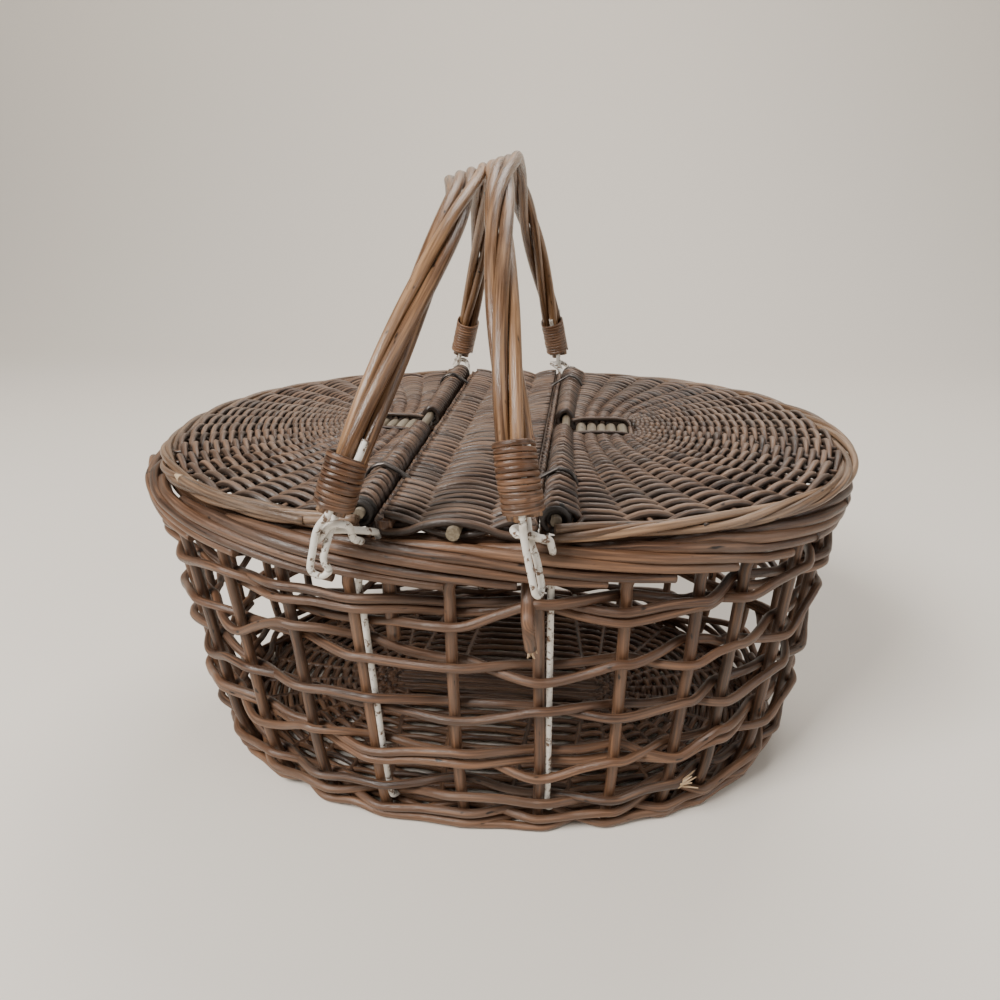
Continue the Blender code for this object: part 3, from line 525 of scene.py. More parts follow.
def make_slath(word, side):
    """The short thick sticks of a lid, and the rods that bind them."""
    pitch = (SLATH_END - SLATH_START) / SLATH_COUNT
    sticks = []
    for k in range(SLATH_COUNT):
        x = side * (SLATH_START + pitch * (k + 0.5)) + dice.uniform(-0.0004, 0.0004)
        y = np.linspace(-SLATH_HALF - 0.003, SLATH_HALF + 0.003, 9)
        z = SLATH_Z - SLATH_DIP * (np.abs(y) / SLATH_HALF) ** 3
        sticks.append(tube(placed(x, y, z), SLATH_STICK_RADIUS * dice.uniform(0.9, 1.04), sides=14))
    bundle(f"lid_{word}_slath_sticks", sticks, slath_sticks, f"lid_{word}", [f"lid_{word}_slath"])
    bindings = []
    for end in (-1, 1):
        x = np.repeat((SLATH_START, SLATH_END), (2, 3)) + (-0.003, 0.006, -0.006, 0.001, 0.0032)
        y = end * (SLATH_HALF + 0.0002) * np.array((1, 1, 1, 0.96, 0.6))
        across = placed(side * x, y, (0.2130, 0.2146, 0.2148, 0.2128, 0.2103))
        bindings.append(tube(flowing(across), 0.0014, sides=8))
    y = SLATH_HALF * np.array((-1, -0.4, 0.4, 1))
    post = placed(side * (SLATH_END + 0.0022), y, (0.2085, 0.2108, 0.2108, 0.2085))
    bindings.append(tube(flowing(post), 0.0018, sides=8))
    bundle(f"lid_{word}_slath_binding", bindings, lid_willow, f"lid_{word}")


def make_bar(word, side):
    """The stick inside a lid's roll, and near-black rings round it in both mouths of the roll, as painted
    shade.
    """
    x = side * LID_BAR_X + wavering(24, 0.0003)
    z = LID_BAR_Z + 0.0002 + wavering(24, 0.0003)
    y = np.linspace(-BAR_HALF_LENGTH, BAR_HALF_LENGTH, 24)
    stick = tube(placed(x, y, z), BAR_STICK_RADIUS, sides=14)
    bundle(f"lid_{word}_bar", [stick], slath_sticks, f"lid_{word}", [f"lid_{word}_hinge_bar"])
    # Painted shade: near-black rings round the bar fill both mouths of the roll.
    turn = np.linspace(0, 2 * math.pi, 17)[:-1]
    rings = []
    for end in (-1, 1):
        for reach, y in MOUTH_SHADE_RINGS:
            ring = placed(side * LID_BAR_X + reach * np.cos(turn), end * y, LID_BAR_Z + reach * np.sin(turn))
            rings.append(tube(ring, 0.0015, Y_AXIS, sides=8, closed=True))
    bundle(f"lid_{word}_bar_mouth_shade", rings, painted_mouth_shade, f"lid_{word}")


# %% Border of a lid
BORDER_MIDDLE, BORDER_Z = 0.0046, 0.2104
BORDER_TWISTS, BORDER_WIDE, BORDER_HIGH = 3.2, 0.0030, 0.0023
BORDER_POINTS = 150


def make_lid_border(word, side):
    """Long rods that run round a lid's edge in slow twists."""
    share = np.linspace(0.0, 1.0, BORDER_POINTS)
    spots = along(half_oval(side, BORDER_MIDDLE), share)
    tangent = unit(np.gradient(spots, axis=0))
    out = np.stack((tangent[:, 1], -tangent[:, 0]), 1) * side
    rods = []
    for k in range(4):
        turn = 2 * math.pi * (k / 4 + share * BORDER_TWISTS * side) + wavering(BORDER_POINTS, 0.35, 20)
        reach = BORDER_WIDE + wavering(BORDER_POINTS, 0.0003, 12)
        xy = spots + out * (np.cos(turn) * reach)[:, None]
        z = BORDER_Z + np.sin(turn) * BORDER_HIGH + wavering(BORDER_POINTS, 0.0003, 14)
        thick = np.linspace(0.0023, 0.0019, BORDER_POINTS)[:: 1 if k % 2 else -1]
        thick = thick * (1 + wavering(BORDER_POINTS, 0.04, 15))
        rods.append(tube(np.column_stack((xy, z)), thick, sides=10))
    bundle(f"lid_{word}_edge", rods, border_willow, f"lid_{word}", [f"lid_{word}_border"])


def loose_border_rod(start, end, radius_from, radius_to):
    """Part of the rod of the left lid's border that has come up, between two shares of the lid's edge."""
    share = np.linspace(start, end, 24)
    xy = along(half_oval(-1, BORDER_MIDDLE), share)
    z = np.interp(share, (0.050, 0.228, 0.243), (0.2105, 0.2150, 0.2156))
    route = np.column_stack((xy + unit(xy) * 0.0040, z))
    return tube(route, np.linspace(radius_from, radius_to, 24), sides=12)


for word, side in SIDES.items():
    make_slath(word, side)
    make_bar(word, side)
    make_lid_border(word, side)
bundle("lid_left_loose_rod", [loose_border_rod(0.050, 0.228, 0.0024, 0.0024)], border_willow, "lid_left")
bundle("lid_left_cut_end", [loose_border_rod(0.227, 0.243, 0.0025, 0.0008)], fresh_break, "lid_left")

# %% [markdown]
# ## The fixed strip
# The strip has three sticks along Y: one at each edge and one in the middle. Weavers cross them in rows
# along X and turn round the edge sticks, as on the lids. At each end of an edge stick a short upright one
# is pushed down into the side behind the border, with its cut end above, and that holds the strip.

# %% Strip
STRIP_STICK_X, STRIP_STICK_RADIUS = 0.0345, 0.004
STRIP_ROWS, STRIP_WAVE = 104, 0.0042
STRIP_END = oval_at(STRIP_STICK_X, LIDS_A, LIDS_B)


def strip_row(row):
    """One weaver across the strip, with its height over and under the three sticks."""
    share = (row + 0.5) / STRIP_ROWS
    x = np.linspace(-STRIP_STICK_X, STRIP_STICK_X, 21)
    y_end = STRIP_END - 0.006
    y = -y_end + 2 * y_end * share + wavering(21, 0.0004, 7)
    bow = 0.0035 * (1 - (x / STRIP_STICK_X) ** 2) * (2 * share - 1)
    wave = signed_power(np.cos(math.pi * (x / STRIP_STICK_X + row)), WAVE_POWER)
    return placed(x, y + bow, LID_MIDDLE_Z - 0.0006 + STRIP_WAVE * wave + wavering(21, 0.0002, 6))


def stick_turn(side):
    """A rule for a weaver's half turn round one edge stick of the strip."""
    def half_turn(start, end):
        turn = np.linspace(0, math.pi, 6)[1:-1]
        x = side * (STRIP_STICK_X + STRIP_WAVE * 0.85 * np.sin(turn))
        y = start[1] + (end[1] - start[1]) * turn / math.pi
        return placed(x, y, (start[2] + end[2]) / 2 + (start[2] - end[2]) / 2 * np.cos(turn))
    return half_turn


def strip_sticks(side, low, high):
    """One edge stick of the strip and the two upright ones at its ends."""
    reach = STRIP_END - 0.008
    level = placed(side * STRIP_STICK_X, np.linspace(-reach, reach, 24), high[2] - STRIP_STICK_RADIUS)
    rods = [tube(level, STRIP_STICK_RADIUS * 0.92, X_AXIS, sides=12)]
    for end in (-1, 1):
        bottom = np.array((side * (STRIP_STICK_X + 0.0028), end * 0.1490, low[2] - 0.006))
        top = np.array((side * (STRIP_STICK_X + 0.0012), end * 0.1592, high[2] - 0.0006))
        upright = bottom + (top - bottom) * np.linspace(0, 1, 14)[:, None]
        upright[:, 0] += wavering(14, 0.0003)
        rods.append(tube(upright, STRIP_STICK_RADIUS * np.linspace(0.95, 0.88, 14), X_AXIS, sides=12))
    return rods


rows = [strip_row(row) for row in range(STRIP_ROWS)]
weavers = woven_pairs(
    rows, stick_turn(-1), stick_turn(1), lambda route: WEAVER_RADIUS * dice.uniform(0.92, 1.1))
bundle("strip_weave", weavers, lid_willow, "root", ["strip_panel"])
reach = LIDS_B - 0.0005
stick = placed(wavering(20, 0.0004), np.linspace(-reach, reach, 20), LID_MIDDLE_Z - 0.0008)
bundle("strip_middle_stick", [tube(stick, 0.0034, sides=12)], slath_sticks, "root")
for word, side in SIDES.items():
    sticks = strip_sticks(side, *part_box(f"strip_stick_{word}"))
    bundle(f"strip_edge_{word}", sticks, side_willow, "root", [f"strip_stick_{word}"])

# %% [markdown]
# ## The open side
# Twenty-eight stakes stand on an oval that is narrower at the foot, and tucks in where they enter the
# floor. A point of the side is given by a stake's number, a height and a distance out, and fractions of
# a stake's number lie between two stakes. So each rod of the side can be told in a basket maker's words:
# before this stake, behind the next. The front stakes stand where they stand in the picture.

# %% The shape of the side
STAKES, STAKE_RADIUS, STAKE_INSET = 28, 0.0034, 0.0108
RIM_HEIGHT = float(rim_high[2])
TOP_A, TOP_B = rim_high[0] - STAKE_INSET, rim_high[1] - STAKE_INSET
TAPER_A, TAPER_B = 0.0135, 0.028
TUCK_A, TUCK_B, TUCK_HEIGHT = 0.0135, 0.003, 0.050
FRONT_STAKES = (-0.448, -0.261, -0.027, 0.190, 0.393, 0.567, 0.682)


def side_axes(height):
    """Half length and half width of the stakes' oval at a height."""
    fall = 1 - height / RIM_HEIGHT
    tuck = np.maximum(1 - height / TUCK_HEIGHT, 0) ** 2
    return TOP_A - TAPER_A * fall - TUCK_A * tuck, TOP_B - TAPER_B * fall - TUCK_B * tuck


def stake_turns():
    """The turn of each stake's top: the front ones as in the picture, the others evenly spaced."""
    front = -np.arccos(signed_power(np.array(FRONT_STAKES), OVAL_POWER / 2))
    fine = np.linspace(front[-1], front[0] + 2 * math.pi, 3000)
    run = distance_run(np.stack(oval(fine, TOP_A, TOP_B), 1))
    others = STAKES - len(front)
    rest = np.interp(np.arange(1, others + 1) / (others + 1) * run[-1], run, fine)
    return np.concatenate((front, rest))


top_turns = stake_turns()


def lowered_turn(number, height):
    """Where a stake crosses the oval at a height; it leans in less the nearer it is to the middle."""
    top = top_turns[number % STAKES] + 2 * math.pi * (number // STAKES)
    cos, sin = np.cos(top), np.sin(top)
    reach = np.abs(cos) ** (2 / OVAL_POWER)
    narrower = side_axes(height)[0] / TOP_A
    cos_low = np.sign(cos) * np.clip(reach * narrower ** (reach - 1), 0, 1) ** (OVAL_POWER / 2)
    sin_low = np.sign(sin) * np.sqrt(1 - cos_low**2)
    return top + (np.arctan2(sin_low, cos_low) - top + math.pi) % (2 * math.pi) - math.pi


def side_point(u, height, out=0.0):
    """Points of the side by stake number, height and distance out, for many values at once."""
    u, height, out = np.broadcast_arrays(*(np.asarray(v, float) for v in (u, height, out)))
    first = np.floor(u).astype(int)
    share = u - first
    turn = lowered_turn(first, height) * (1 - share) + lowered_turn(first + 1, height) * share
    a, b = side_axes(height)
    x, y = oval(turn, a, b)
    nx, ny = signed_power(x / a, OVAL_POWER - 1) / a, signed_power(y / b, OVAL_POWER - 1) / b
    size = np.hypot(nx, ny)
    return placed(x + out * nx / size, y + out * ny / size, height)


def outward(points):
    """Level directions away from the basket's middle, to hold a rod's section steady."""
    return unit(points * (X_AXIS + Y_AXIS))


print("stakes at the front in mm:", [round(1000 * float(side_point(k, RIM_HEIGHT)[0])) for k in range(7)])

# %% [markdown]
# A stake and a rod of the border are one and the same rod. It comes up out of the floor, and above the
# top row it is bent to the right and laid down over the stakes beside it: first on top, then outward and
# down along the outside, until it ends, cut off, some four or five stakes farther on. All of them do the
# same, so at every place four rods lie on each other in shallow diagonals, as in the picture. Making the
# border from rings laid on each other would lose both the diagonals and the cut ends.

# %% Stakes with their border rods
BORDER_ROD_RADIUS, ROD_TIP_RADIUS = 0.0030, 0.0026
UPRIGHT_FROM, UPRIGHT_TO = 0.003, 0.178
BORDER_SHORTEST, BORDER_LONGEST = 4.45, 5.05
BORDER_STEPS = (0.00, 0.30, 1.05, 2.05, 3.05, 4.05, 4.95)
BORDER_OUT = (0.0000, -0.0006, 0.0038, 0.0079, 0.0082, 0.0076, 0.0062)
BORDER_HEIGHTS = (0.1850, 0.1995, 0.2018, 0.1985, 0.1925, 0.1862, 0.1812)


def stake_rod(number):
    """One rod: upright as a stake, then laid along the border."""
    heights = np.linspace(UPRIGHT_FROM, UPRIGHT_TO, 26)
    upright = side_point(number + wavering(26, 0.012), heights, wavering(26, 0.0004))
    steps = np.linspace(0, dice.uniform(BORDER_SHORTEST, BORDER_LONGEST), 34)
    laid_out = np.interp(steps, BORDER_STEPS, BORDER_OUT) + wavering(34, 0.0004)
    laid_height = np.interp(steps, BORDER_STEPS, BORDER_HEIGHTS) + wavering(34, 0.0004)
    laid_height = np.minimum(laid_height, RIM_HEIGHT - BORDER_ROD_RADIUS - 0.0002)
    laid = side_point(number + steps, laid_height, laid_out)
    route = flowing(np.vstack((upright, laid[1:])), per=2)
    thick = (STAKE_RADIUS, 0.0032, BORDER_ROD_RADIUS, ROD_TIP_RADIUS)
    radius = np.interp(np.linspace(0, 1, len(route)), (0, 0.35, 0.6, 1), thick)
    return tube(route, radius * (1 + wavering(len(route), 0.03, 5)), outward(route), sides=12)


def inner_strand(height, out, first):
    """A strand inside the stakes' tops, where it closes the gap between border and lids."""
    u = np.linspace(0, STAKES, STAKES * 6, endpoint=False)
    wave = 0.0007 * np.cos(math.pi * (u + first))
    points = side_point(u, height + wave + wavering(len(u), 0.0003), out + wave)
    return tube(points, 0.0027, outward(points), sides=10, closed=True)


border = [stake_rod(k) for k in range(STAKES)]
border += [inner_strand(0.2012, -0.0062, 0), inner_strand(0.1958, -0.0058, 1)]
stands_for = [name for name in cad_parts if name.startswith("side_stakes")]
stands_for += ["rim_rod_top", "rim_rod_middle", "rim_rod_bottom"]
bundle("side_stakes_and_border", border, side_willow, "root", stands_for)

# %% [markdown]
# Each row is a pair of strands twined round the stakes: one lies before two stakes while the other lies
# behind them, and between the stakes they change places. A strand comes to the front low, with a small
# kink where it was pressed round the first stake, rises to the second, and goes behind. The rows take
# turns: where one row changes places, the next one doesn't. Each strand has its height in metres, its
# place in the turns and, where it shows in the picture, its heights at the first five stakes in front, in
# millimetres. Elsewhere they follow the same rule with some unevenness.

# %% Twined rows
ROW_RADIUS = 0.0026
ROW_LIFT = (-0.0050, 0.0032, 0.0018, -0.0026)
ROWS = {
    "top_upper": (0.1655, 0, (168, 168, 164, 167, 164)),
    "top_lower": (0.1590, 0, (160, 162, 158, 162, 158)),
    "top_inner": (0.1620, 2, (149, 148, 155, 170, 168)),
    "fifth_low": (0.1300, 1, (143, 136, 126, 120, 130)),
    "fifth_flat": (0.1270, 3, (130, 129, 128, 124, 127)),
    "middle_outer": (0.0955, 0, (98, 100, 95, 94, 92)),
    "middle_inner": (0.0940, 2, (90, 86, 90, 98, 93)),
    "third_low": (0.0580, 1, (66, 61, 56, 47, 58)),
    "third_flat": (0.0560, 3, (52, 52, 56, 52, 52)),
    "third_extra": (0.0600, 3, (60, 58, 64, 60, 62)),
    "second_outer": (0.0270, 0, (26, 30, 33, 22, 25)),
    "second_inner": (0.0240, 2, (18, 14, 28, 25, 14)),
    "foot_upper_outer": (0.0125, 1, ()),
    "foot_upper_inner": (0.0115, 3, ()),
    "foot_outer": (0.0055, 2, (11, 5, 3, 3, 4)),
    "foot_inner": (0.0048, 0, (4, 3, 8, 10, 4)),
    "foot_lowest": (0.0032, 3, ()),
}
FOOT_BELOW = 0.020
FIRST_START = 9


def crossing_out(height):
    """How far a strand lies out from the stakes' line; more where the side leans over far."""
    step = 0.001
    slope = (side_axes(height + step)[0] - side_axes(height - step)[0]) / (2 * step)
    return (STAKE_RADIUS + ROW_RADIUS - 0.0003) * np.hypot(1, slope)


def row_strand(level, place, front):
    """One strand of a twined row, all the way round: two stakes before, two behind."""
    turn_of = (np.arange(STAKES) + place) % 4
    loose = 0.3 if level < FOOT_BELOW else 1.0
    heights = level + loose * (np.choose(turn_of, ROW_LIFT) + dice.normal(0, 0.0017, STAKES))
    heights[: len(front)] = np.array(front) / 1000
    heights = np.maximum(heights, ROW_RADIUS * 1.1)
    before = turn_of < 2
    first = FIRST_START + (2 - turn_of[FIRST_START]) % 4 + 4 * int(dice.integers(0, 4))
    corners = []
    for step in range(STAKES + 1):
        k, following = (first + step) % STAKES, (first + step + 1) % STAKES
        out = crossing_out(heights[k]) * (1 if before[k] else -1)
        beside_itself = ROW_RADIUS * {0: -0.9, STAKES: 0.9}.get(step, 0.0)
        for aside in (-0.12, 0.12):
            corners.append((first + step + aside, heights[k] + beside_itself, out * 0.96))
        if step == STAKES:
            break
        between = (heights[k] + heights[following]) / 2
        if before[following] == before[k]:
            corners.append((first + step + 0.5, between + dice.normal(0, 0.0006), out * 0.78))
        else:
            in_front = heights[k] if before[k] else heights[following]
            corners.append((first + step + 0.5, between * 0.6 + in_front * 0.4, 0.0))
    u, h, out = (flowing(np.array(corners) * (1, 100, 100), per=5) / (1, 100, 100)).T
    points = side_point(u, np.maximum(h + wavering(len(u), 0.0003, 7), ROW_RADIUS * 1.05), out)
    return tube(points, ROW_RADIUS * (1 + wavering(len(u), 0.05, 20)), outward(points), sides=12)


strands = [row_strand(*values) for values in ROWS.values()]
stands_for = [f"side_weaver_{k}" for k in range(1, 7)] + ["foot_border"]
bundle("side_rows", strands, side_willow, "root", stands_for)

# %% [markdown]
# ## The floor
# The floor is close-woven in the same way as a lid: long sticks in the middle, ribs that fan out from
# them, and thin rods woven round in ovals. The stakes enter its edge. It is seen only through the open
# side, so its rods may be coarser than those of the lids.

# %% The woven floor
FLOOR_RODS, FLOOR_RIBS, FLOOR_STICKS = 27, 36, 7
FLOOR_MIDDLE_Z, FLOOR_WAVE = 0.0046, 0.0022
FLOOR_SLATH_HALF = 0.075


def floor_point(turn, share, height):
    """Points of the floor between the middle stick, at share 0, and the edge, at share 1."""
    a, b = side_axes(0.004)
    x, y = oval(turn, a - 0.004, b - 0.004)
    start = FLOOR_SLATH_HALF * np.sin(np.clip(x / FLOOR_SLATH_HALF, -1, 1) * math.pi / 2)
    return placed(start + (x - start) * share, y * share, height)


def floor_rods():
    """Ribs that fan out from the middle, rods woven over and under them in ovals, and the middle sticks."""
    rods = []
    for k in range(FLOOR_RIBS):
        turn = np.full(14, 2 * math.pi * (k + 0.5) / FLOOR_RIBS)
        rods.append(tube(floor_point(turn, np.linspace(0.02, 1.0, 14), FLOOR_MIDDLE_Z), 0.0023, sides=8))
    for row in range(FLOOR_RODS):
        count = FLOOR_RIBS * 5
        turn = np.linspace(0, 2 * math.pi, count, endpoint=False)
        wave = np.cos(turn * FLOOR_RIBS / 2 + math.pi * row)
        share = (row + 1.2) / (FLOOR_RODS + 0.8) + wavering(count, 0.002, 8)
        points = floor_point(turn, share, FLOOR_MIDDLE_Z + FLOOR_WAVE * wave)
        rods.append(tube(points, 0.0019, sides=8, closed=True))
    for k in range(FLOOR_STICKS):
        aside = k - FLOOR_STICKS // 2
        reach = FLOOR_SLATH_HALF * (1.25 - 0.08 * abs(aside))
        points = placed(np.linspace(-1, 1, 16) * reach, aside * 0.0046, FLOOR_MIDDLE_Z + 0.0006)
        rods.append(tube(points, 0.0026, sides=8))
    return rods


bundle("floor_weave", floor_rods(), side_willow, "root", ("floor_panel",))

# %% [markdown]
# ## Loose, tucked and broken ends
# This basket is old. A few border rods have come loose at the left and the right end, and the ends of
# others are tucked inside the border under the lids' bars. Short rods lie under the gaps between the strip
# and the lids. The strip's right upright stick has slipped out below the border and broken off there, and
# a strand has frayed near the foot. Both breaks are bunches of thin pale splinters, since fresh wood inside
# a willow rod is far paler than its skin.

# %% Loose, tucked and broken ends
SLIPPED_STICK = ((0.0350, -0.1560, 0.1800), (0.0352, -0.1630, 0.1715), (0.0358, -0.1705, 0.1665),
                 (0.0364, -0.1718, 0.1600), (0.0374, -0.1705, 0.1500))
LOOSE_FROM = 0.0030
TUCKED_HEIGHT, TUCKED_OUT = 0.2010, -0.0060
UNDER_GAPS = ((-0.0448, -1), (0.0416, -1), (-0.0430, 1), (0.0430, 1))


def ring_part(height, out, axis, start, stop, side):
    """Part of a ring round the side: from start to stop along one axis, on one side of the other axis."""
    ring = side_point(np.linspace(0, STAKES, 1200), height, out)
    place = ring[:, axis]
    kept = ring[(ring[:, 1 - axis] * side > 0) & (place > min(start, stop)) & (place < max(start, stop))]
    return kept[np.argsort(kept[:, axis] * np.sign(stop - start))]


def loose_end(side, y_from, y_to, height, out_to):
    """The end of a border rod at the left or the right, which leaves the border little by little."""
    kept = ring_part(height, 0.0, 1, y_from, y_to, side)[::5]
    out = LOOSE_FROM + (out_to - LOOSE_FROM) * np.linspace(0, 1, len(kept)) ** 2
    return tube(kept + outward(kept) * out[:, None], BORDER_ROD_RADIUS * 0.95, sides=12)


def tucked_end(middle, end):
    """The last part of a border rod, tucked inside the border under a lid's bar."""
    kept = ring_part(TUCKED_HEIGHT, TUCKED_OUT, 0, middle - 0.024, middle + 0.019, end)
    kept[:, 2] += wavering(len(kept), 0.0004, 5)
    return tube(kept[::6], BORDER_ROD_RADIUS * 0.85, sides=12)


def splinters(tip, way, count, length, spread):
    """Thin pale splinters that stand out of a broken end."""
    made = []
    for _ in range(count):
        lean = unit(np.array(way) + dice.normal(0, spread, 3))
        start = np.array(tip) + dice.normal(0, 0.0009, 3)
        reach = length * dice.uniform(0.5, 1.0)
        route = start + lean * np.linspace(-0.002, reach, 6)[:, None]
        made.append(tube(route, np.linspace(0.0010, 0.0003, 6), sides=6))
    return made


loose = [loose_end(-1, -0.105, -0.042, 0.1990, 0.0105), loose_end(-1, -0.095, -0.058, 0.1890, 0.0085),
         loose_end(1, -0.020, -0.074, 0.1960, 0.0085), loose_end(1, -0.055, -0.104, 0.1870, 0.0085)]
bundle("border_loose_ends", loose, side_willow, "root")
tucked = [tucked_end(x, end) for x in (-0.050, 0.050) for end in (-1, 1)]
for x, end in UNDER_GAPS:
    under_gap = placed(x + wavering(8, 0.0003), end * np.linspace(0.161, 0.132, 8), 0.2030)
    tucked.append(tube(under_gap, 0.0026, X_AXIS, sides=10))
bundle("border_tucked_ends", tucked, side_willow, "root")
slipped = flowing(SLIPPED_STICK)
slipped_rod = tube(slipped, np.linspace(0.0036, 0.0031, len(slipped)), sides=12)
bundle("stick_end_slipped_out", [slipped_rod], side_willow, "root")
splits = splinters(slipped[-1], (0.15, 0.05, -1.0), 7, 0.0060, 0.22)
splits += splinters(side_point(5.15, 0.030, 0.0072), (0.9, -0.2, 0.35), 5, 0.0140, 0.30)
bundle("broken_ends", splits, fresh_break, "root")

# %% [markdown]
# ## The handles
# A handle is four rods bent into one bow. They lie as a twisted bundle in the legs and spread flat, side
# by side, at the top, so that the hand holds a broad grip. Each handle leans on the other one: that lean
# is the rest position of its joint, so every piece of a handle is first made in the handle's own upright
# plane and then tipped about the pivot line of its two staples.

# %% The handles' own plane
PIVOT_Z = 0.2147
PIVOT_X = {"left": -0.0545, "right": 0.0373}
HANDLE_HEIGHT, HANDLE_STANDOFF, HANDLE_POWER = 0.1635, 0.184, 1.75
BUNDLE_LINE, BUNDLE_RADIUS, HANDLE_ROD_RADIUS = 0.0050, 0.0084, 0.0034
TOPS_AT = {"left": -0.0015 - 0.0088, "right": -0.0015 + 0.0088}
LEAN = {word: math.asin((TOPS_AT[word] - PIVOT_X[word]) / HANDLE_HEIGHT) for word in SIDES}


def tipped(points, word):
    """Points of a handle's own plane, tipped to where the handle leans at rest."""
    x, y, z = np.asarray(points, float).T
    cos, sin = math.cos(LEAN[word]), math.sin(LEAN[word])
    return placed(PIVOT_X[word] + x * cos + z * sin, y, PIVOT_Z - x * sin + z * cos)


def turned(directions, word):
    """Directions of a handle's own plane, turned with it."""
    return tipped(directions, word) - (PIVOT_X[word], 0.0, PIVOT_Z)


def bow_line(foot, count):
    """Evenly spaced points of a handle's middle line, between feet at a height over the pivot."""
    y, z = oval(np.linspace(0, math.pi, 3000), -HANDLE_STANDOFF, HANDLE_HEIGHT, HANDLE_POWER)
    return along(placed(0.0, y, z)[z >= foot], np.linspace(0, 1, count))


def leg_line(heights, end):
    """Points of a leg's middle line at heights over the pivot, and its outer side."""
    points, higher = (
        placed(0.0, end * oval_at(z, HANDLE_HEIGHT, HANDLE_STANDOFF, HANDLE_POWER), z)
        for z in (heights, heights + 0.0005))
    return points, unit(np.cross(X_AXIS, unit(higher - points)) * -end)


# %% Twisted rods of the handles
HANDLE_POINTS = 120
RIBBON_PLACES = (1.5, 0.5, -1.5, -0.5)
TWIST = {"left": 1.25, "right": 1.6}
SPREAD_AT_TOP = {"left": 0.0060, "right": 0.0047}
TOP_SHIFT = {"left": -0.0042, "right": 0.0012}
TOP_SLOPE = {"left": -0.0042, "right": -0.0006}
TOP_DROP = {"left": 0.0045, "right": 0.0}
FRONT_BEND = {"left": 0.0075, "right": 0.0020}


def handle_rod(word, k):
    """One rod of a handle: wound round the others in the legs, beside them at the top."""
    line = bow_line(0.0108 + 0.0015 * dice.random(), HANDLE_POINTS)
    share = np.linspace(0, 1, HANDLE_POINTS)
    normal = np.cross(unit(np.gradient(line, axis=0)), X_AXIS)
    turn = 2 * math.pi * (k / 4 + (share - 0.5) * TWIST[word])
    flat = np.exp(-(((share - 0.5) / 0.11) ** 2))[:, None]
    wound = X_AXIS * np.cos(turn)[:, None] + normal * np.sin(turn)[:, None]
    beside = X_AXIS * (RIBBON_PLACES[k] * SPREAD_AT_TOP[word] + TOP_SHIFT[word])
    drop = normal * (TOP_SLOPE[word] * RIBBON_PLACES[k] + TOP_DROP[word])
    to_front = np.clip(1 - share / 0.5, 0, 1)[:, None]
    straighter = X_AXIS * (FRONT_BEND[word] * np.sin(math.pi * to_front**0.8))
    points = line + wound * BUNDLE_LINE * (1 - flat) + (beside + drop) * flat + straighter
    wander = np.stack([wavering(HANDLE_POINTS, size, 14) for size in (0.0004, 0.0002, 0.0004)], 1)
    taper = (1.03, 0.96, 0.90) if k % 2 else (0.90, 0.96, 1.03)
    radius = HANDLE_ROD_RADIUS * np.interp(share, (0, 0.5, 1), taper)
    radius = radius * (1 + wavering(HANDLE_POINTS, 0.025, 10))
    route = tipped(points + wander * np.sin(share * math.pi)[:, None], word)
    return tube(route, radius, outward(tipped(points, word)) + Z_UP * 0.01, sides=16)


for word in SIDES:
    rods = [handle_rod(word, k) for k in range(4)]
    stands_for = [f"handle_{word}_rod_{k}" for k in range(1, 5)]
    bundle(f"handle_{word}_rods", rods, handle_willow, f"handle_{word}", stands_for)

# %% [markdown]
# Flat skein, which is split and shaved willow, is wound round both feet of each handle and binds the wire
# eye to the rods. The turns lie close, slope a little, and each has its own small tilt, since the skein is
# pulled tight by hand. A smooth cylinder with stripes would lose the dark lines between the turns.

# %% Skein wraps
WRAP_FROM = 0.0135
WRAP_TOPS = {("left", -1): 0.0385, ("right", -1): 0.0452, ("left", 1): 0.0440, ("right", 1): 0.0440}
WRAP_TURNS = {("left", -1): 9, ("right", -1): 12, ("left", 1): 11, ("right", 1): 11}
WRAP_POINTS_A_TURN, WRAP_SQUARENESS = 28, 0.85
SKEIN_THICKNESS = 0.0011


def wrap_rods(word, end):
    """The flat skein of one wrap, as one long rod pressed flat."""
    turns = WRAP_TURNS[word, end]
    pitch = (WRAP_TOPS[word, end] - WRAP_FROM) / (turns + 1)
    count = turns * WRAP_POINTS_A_TURN + 1
    turn = np.linspace(0, turns, count)
    tilt = np.interp(turn, np.arange(turns + 1), dice.normal(0, 0.10, turns + 1))
    heights = WRAP_FROM + pitch * (turn + 0.5 + tilt * np.sin(2 * math.pi * turn + 1.0))
    middle, outer = leg_line(heights, end)
    cos, sin = np.cos(2 * math.pi * turn)[:, None], np.sin(2 * math.pi * turn)[:, None]
    across = signed_power(cos, WRAP_SQUARENESS) * (BUNDLE_RADIUS + 0.0006)
    out = signed_power(sin, WRAP_SQUARENESS) * (BUNDLE_RADIUS + 0.0018)
    bulge = 1 + wavering(count, 0.012, 5)[:, None]
    points = middle + X_AXIS * across * bulge + outer * out * bulge
    away = unit(X_AXIS * cos + outer * sin)
    half = pitch * 0.53 * (1 + wavering(count, 0.05, 12))
    return [tube(tipped(points, word), half, turned(away, word), sides=12, flat=SKEIN_THICKNESS / pitch)]


def make_four(rods_of, finish, body, name, stands_for):
    """One piece at each end on the left and on the right, for the node of the same place."""
    for word in SIDES:
        for end_name, end in ENDS.items():
            piece, replaced, rides_on = (text.format(word, end_name) for text in (name, stands_for, body))
            bundle(piece, rods_of(word, end), finish, rides_on, [replaced])


make_four(wrap_rods, wrap_skein, "handle_{0}", "handle_{0}_skein_{1}", "handle_{0}_wrap_{1}")

# %% [markdown]
# ## Wires
# The handles hang in thick wires with an old white coating. The coating is chipped, most of all where the
# wires rub on each other, and brown metal shows there. The coating's edge is what makes it look worn, so
# one noise both chips it and lowers the bump at the same places. The rings of the hinges are bare steel
# that has gone dark.

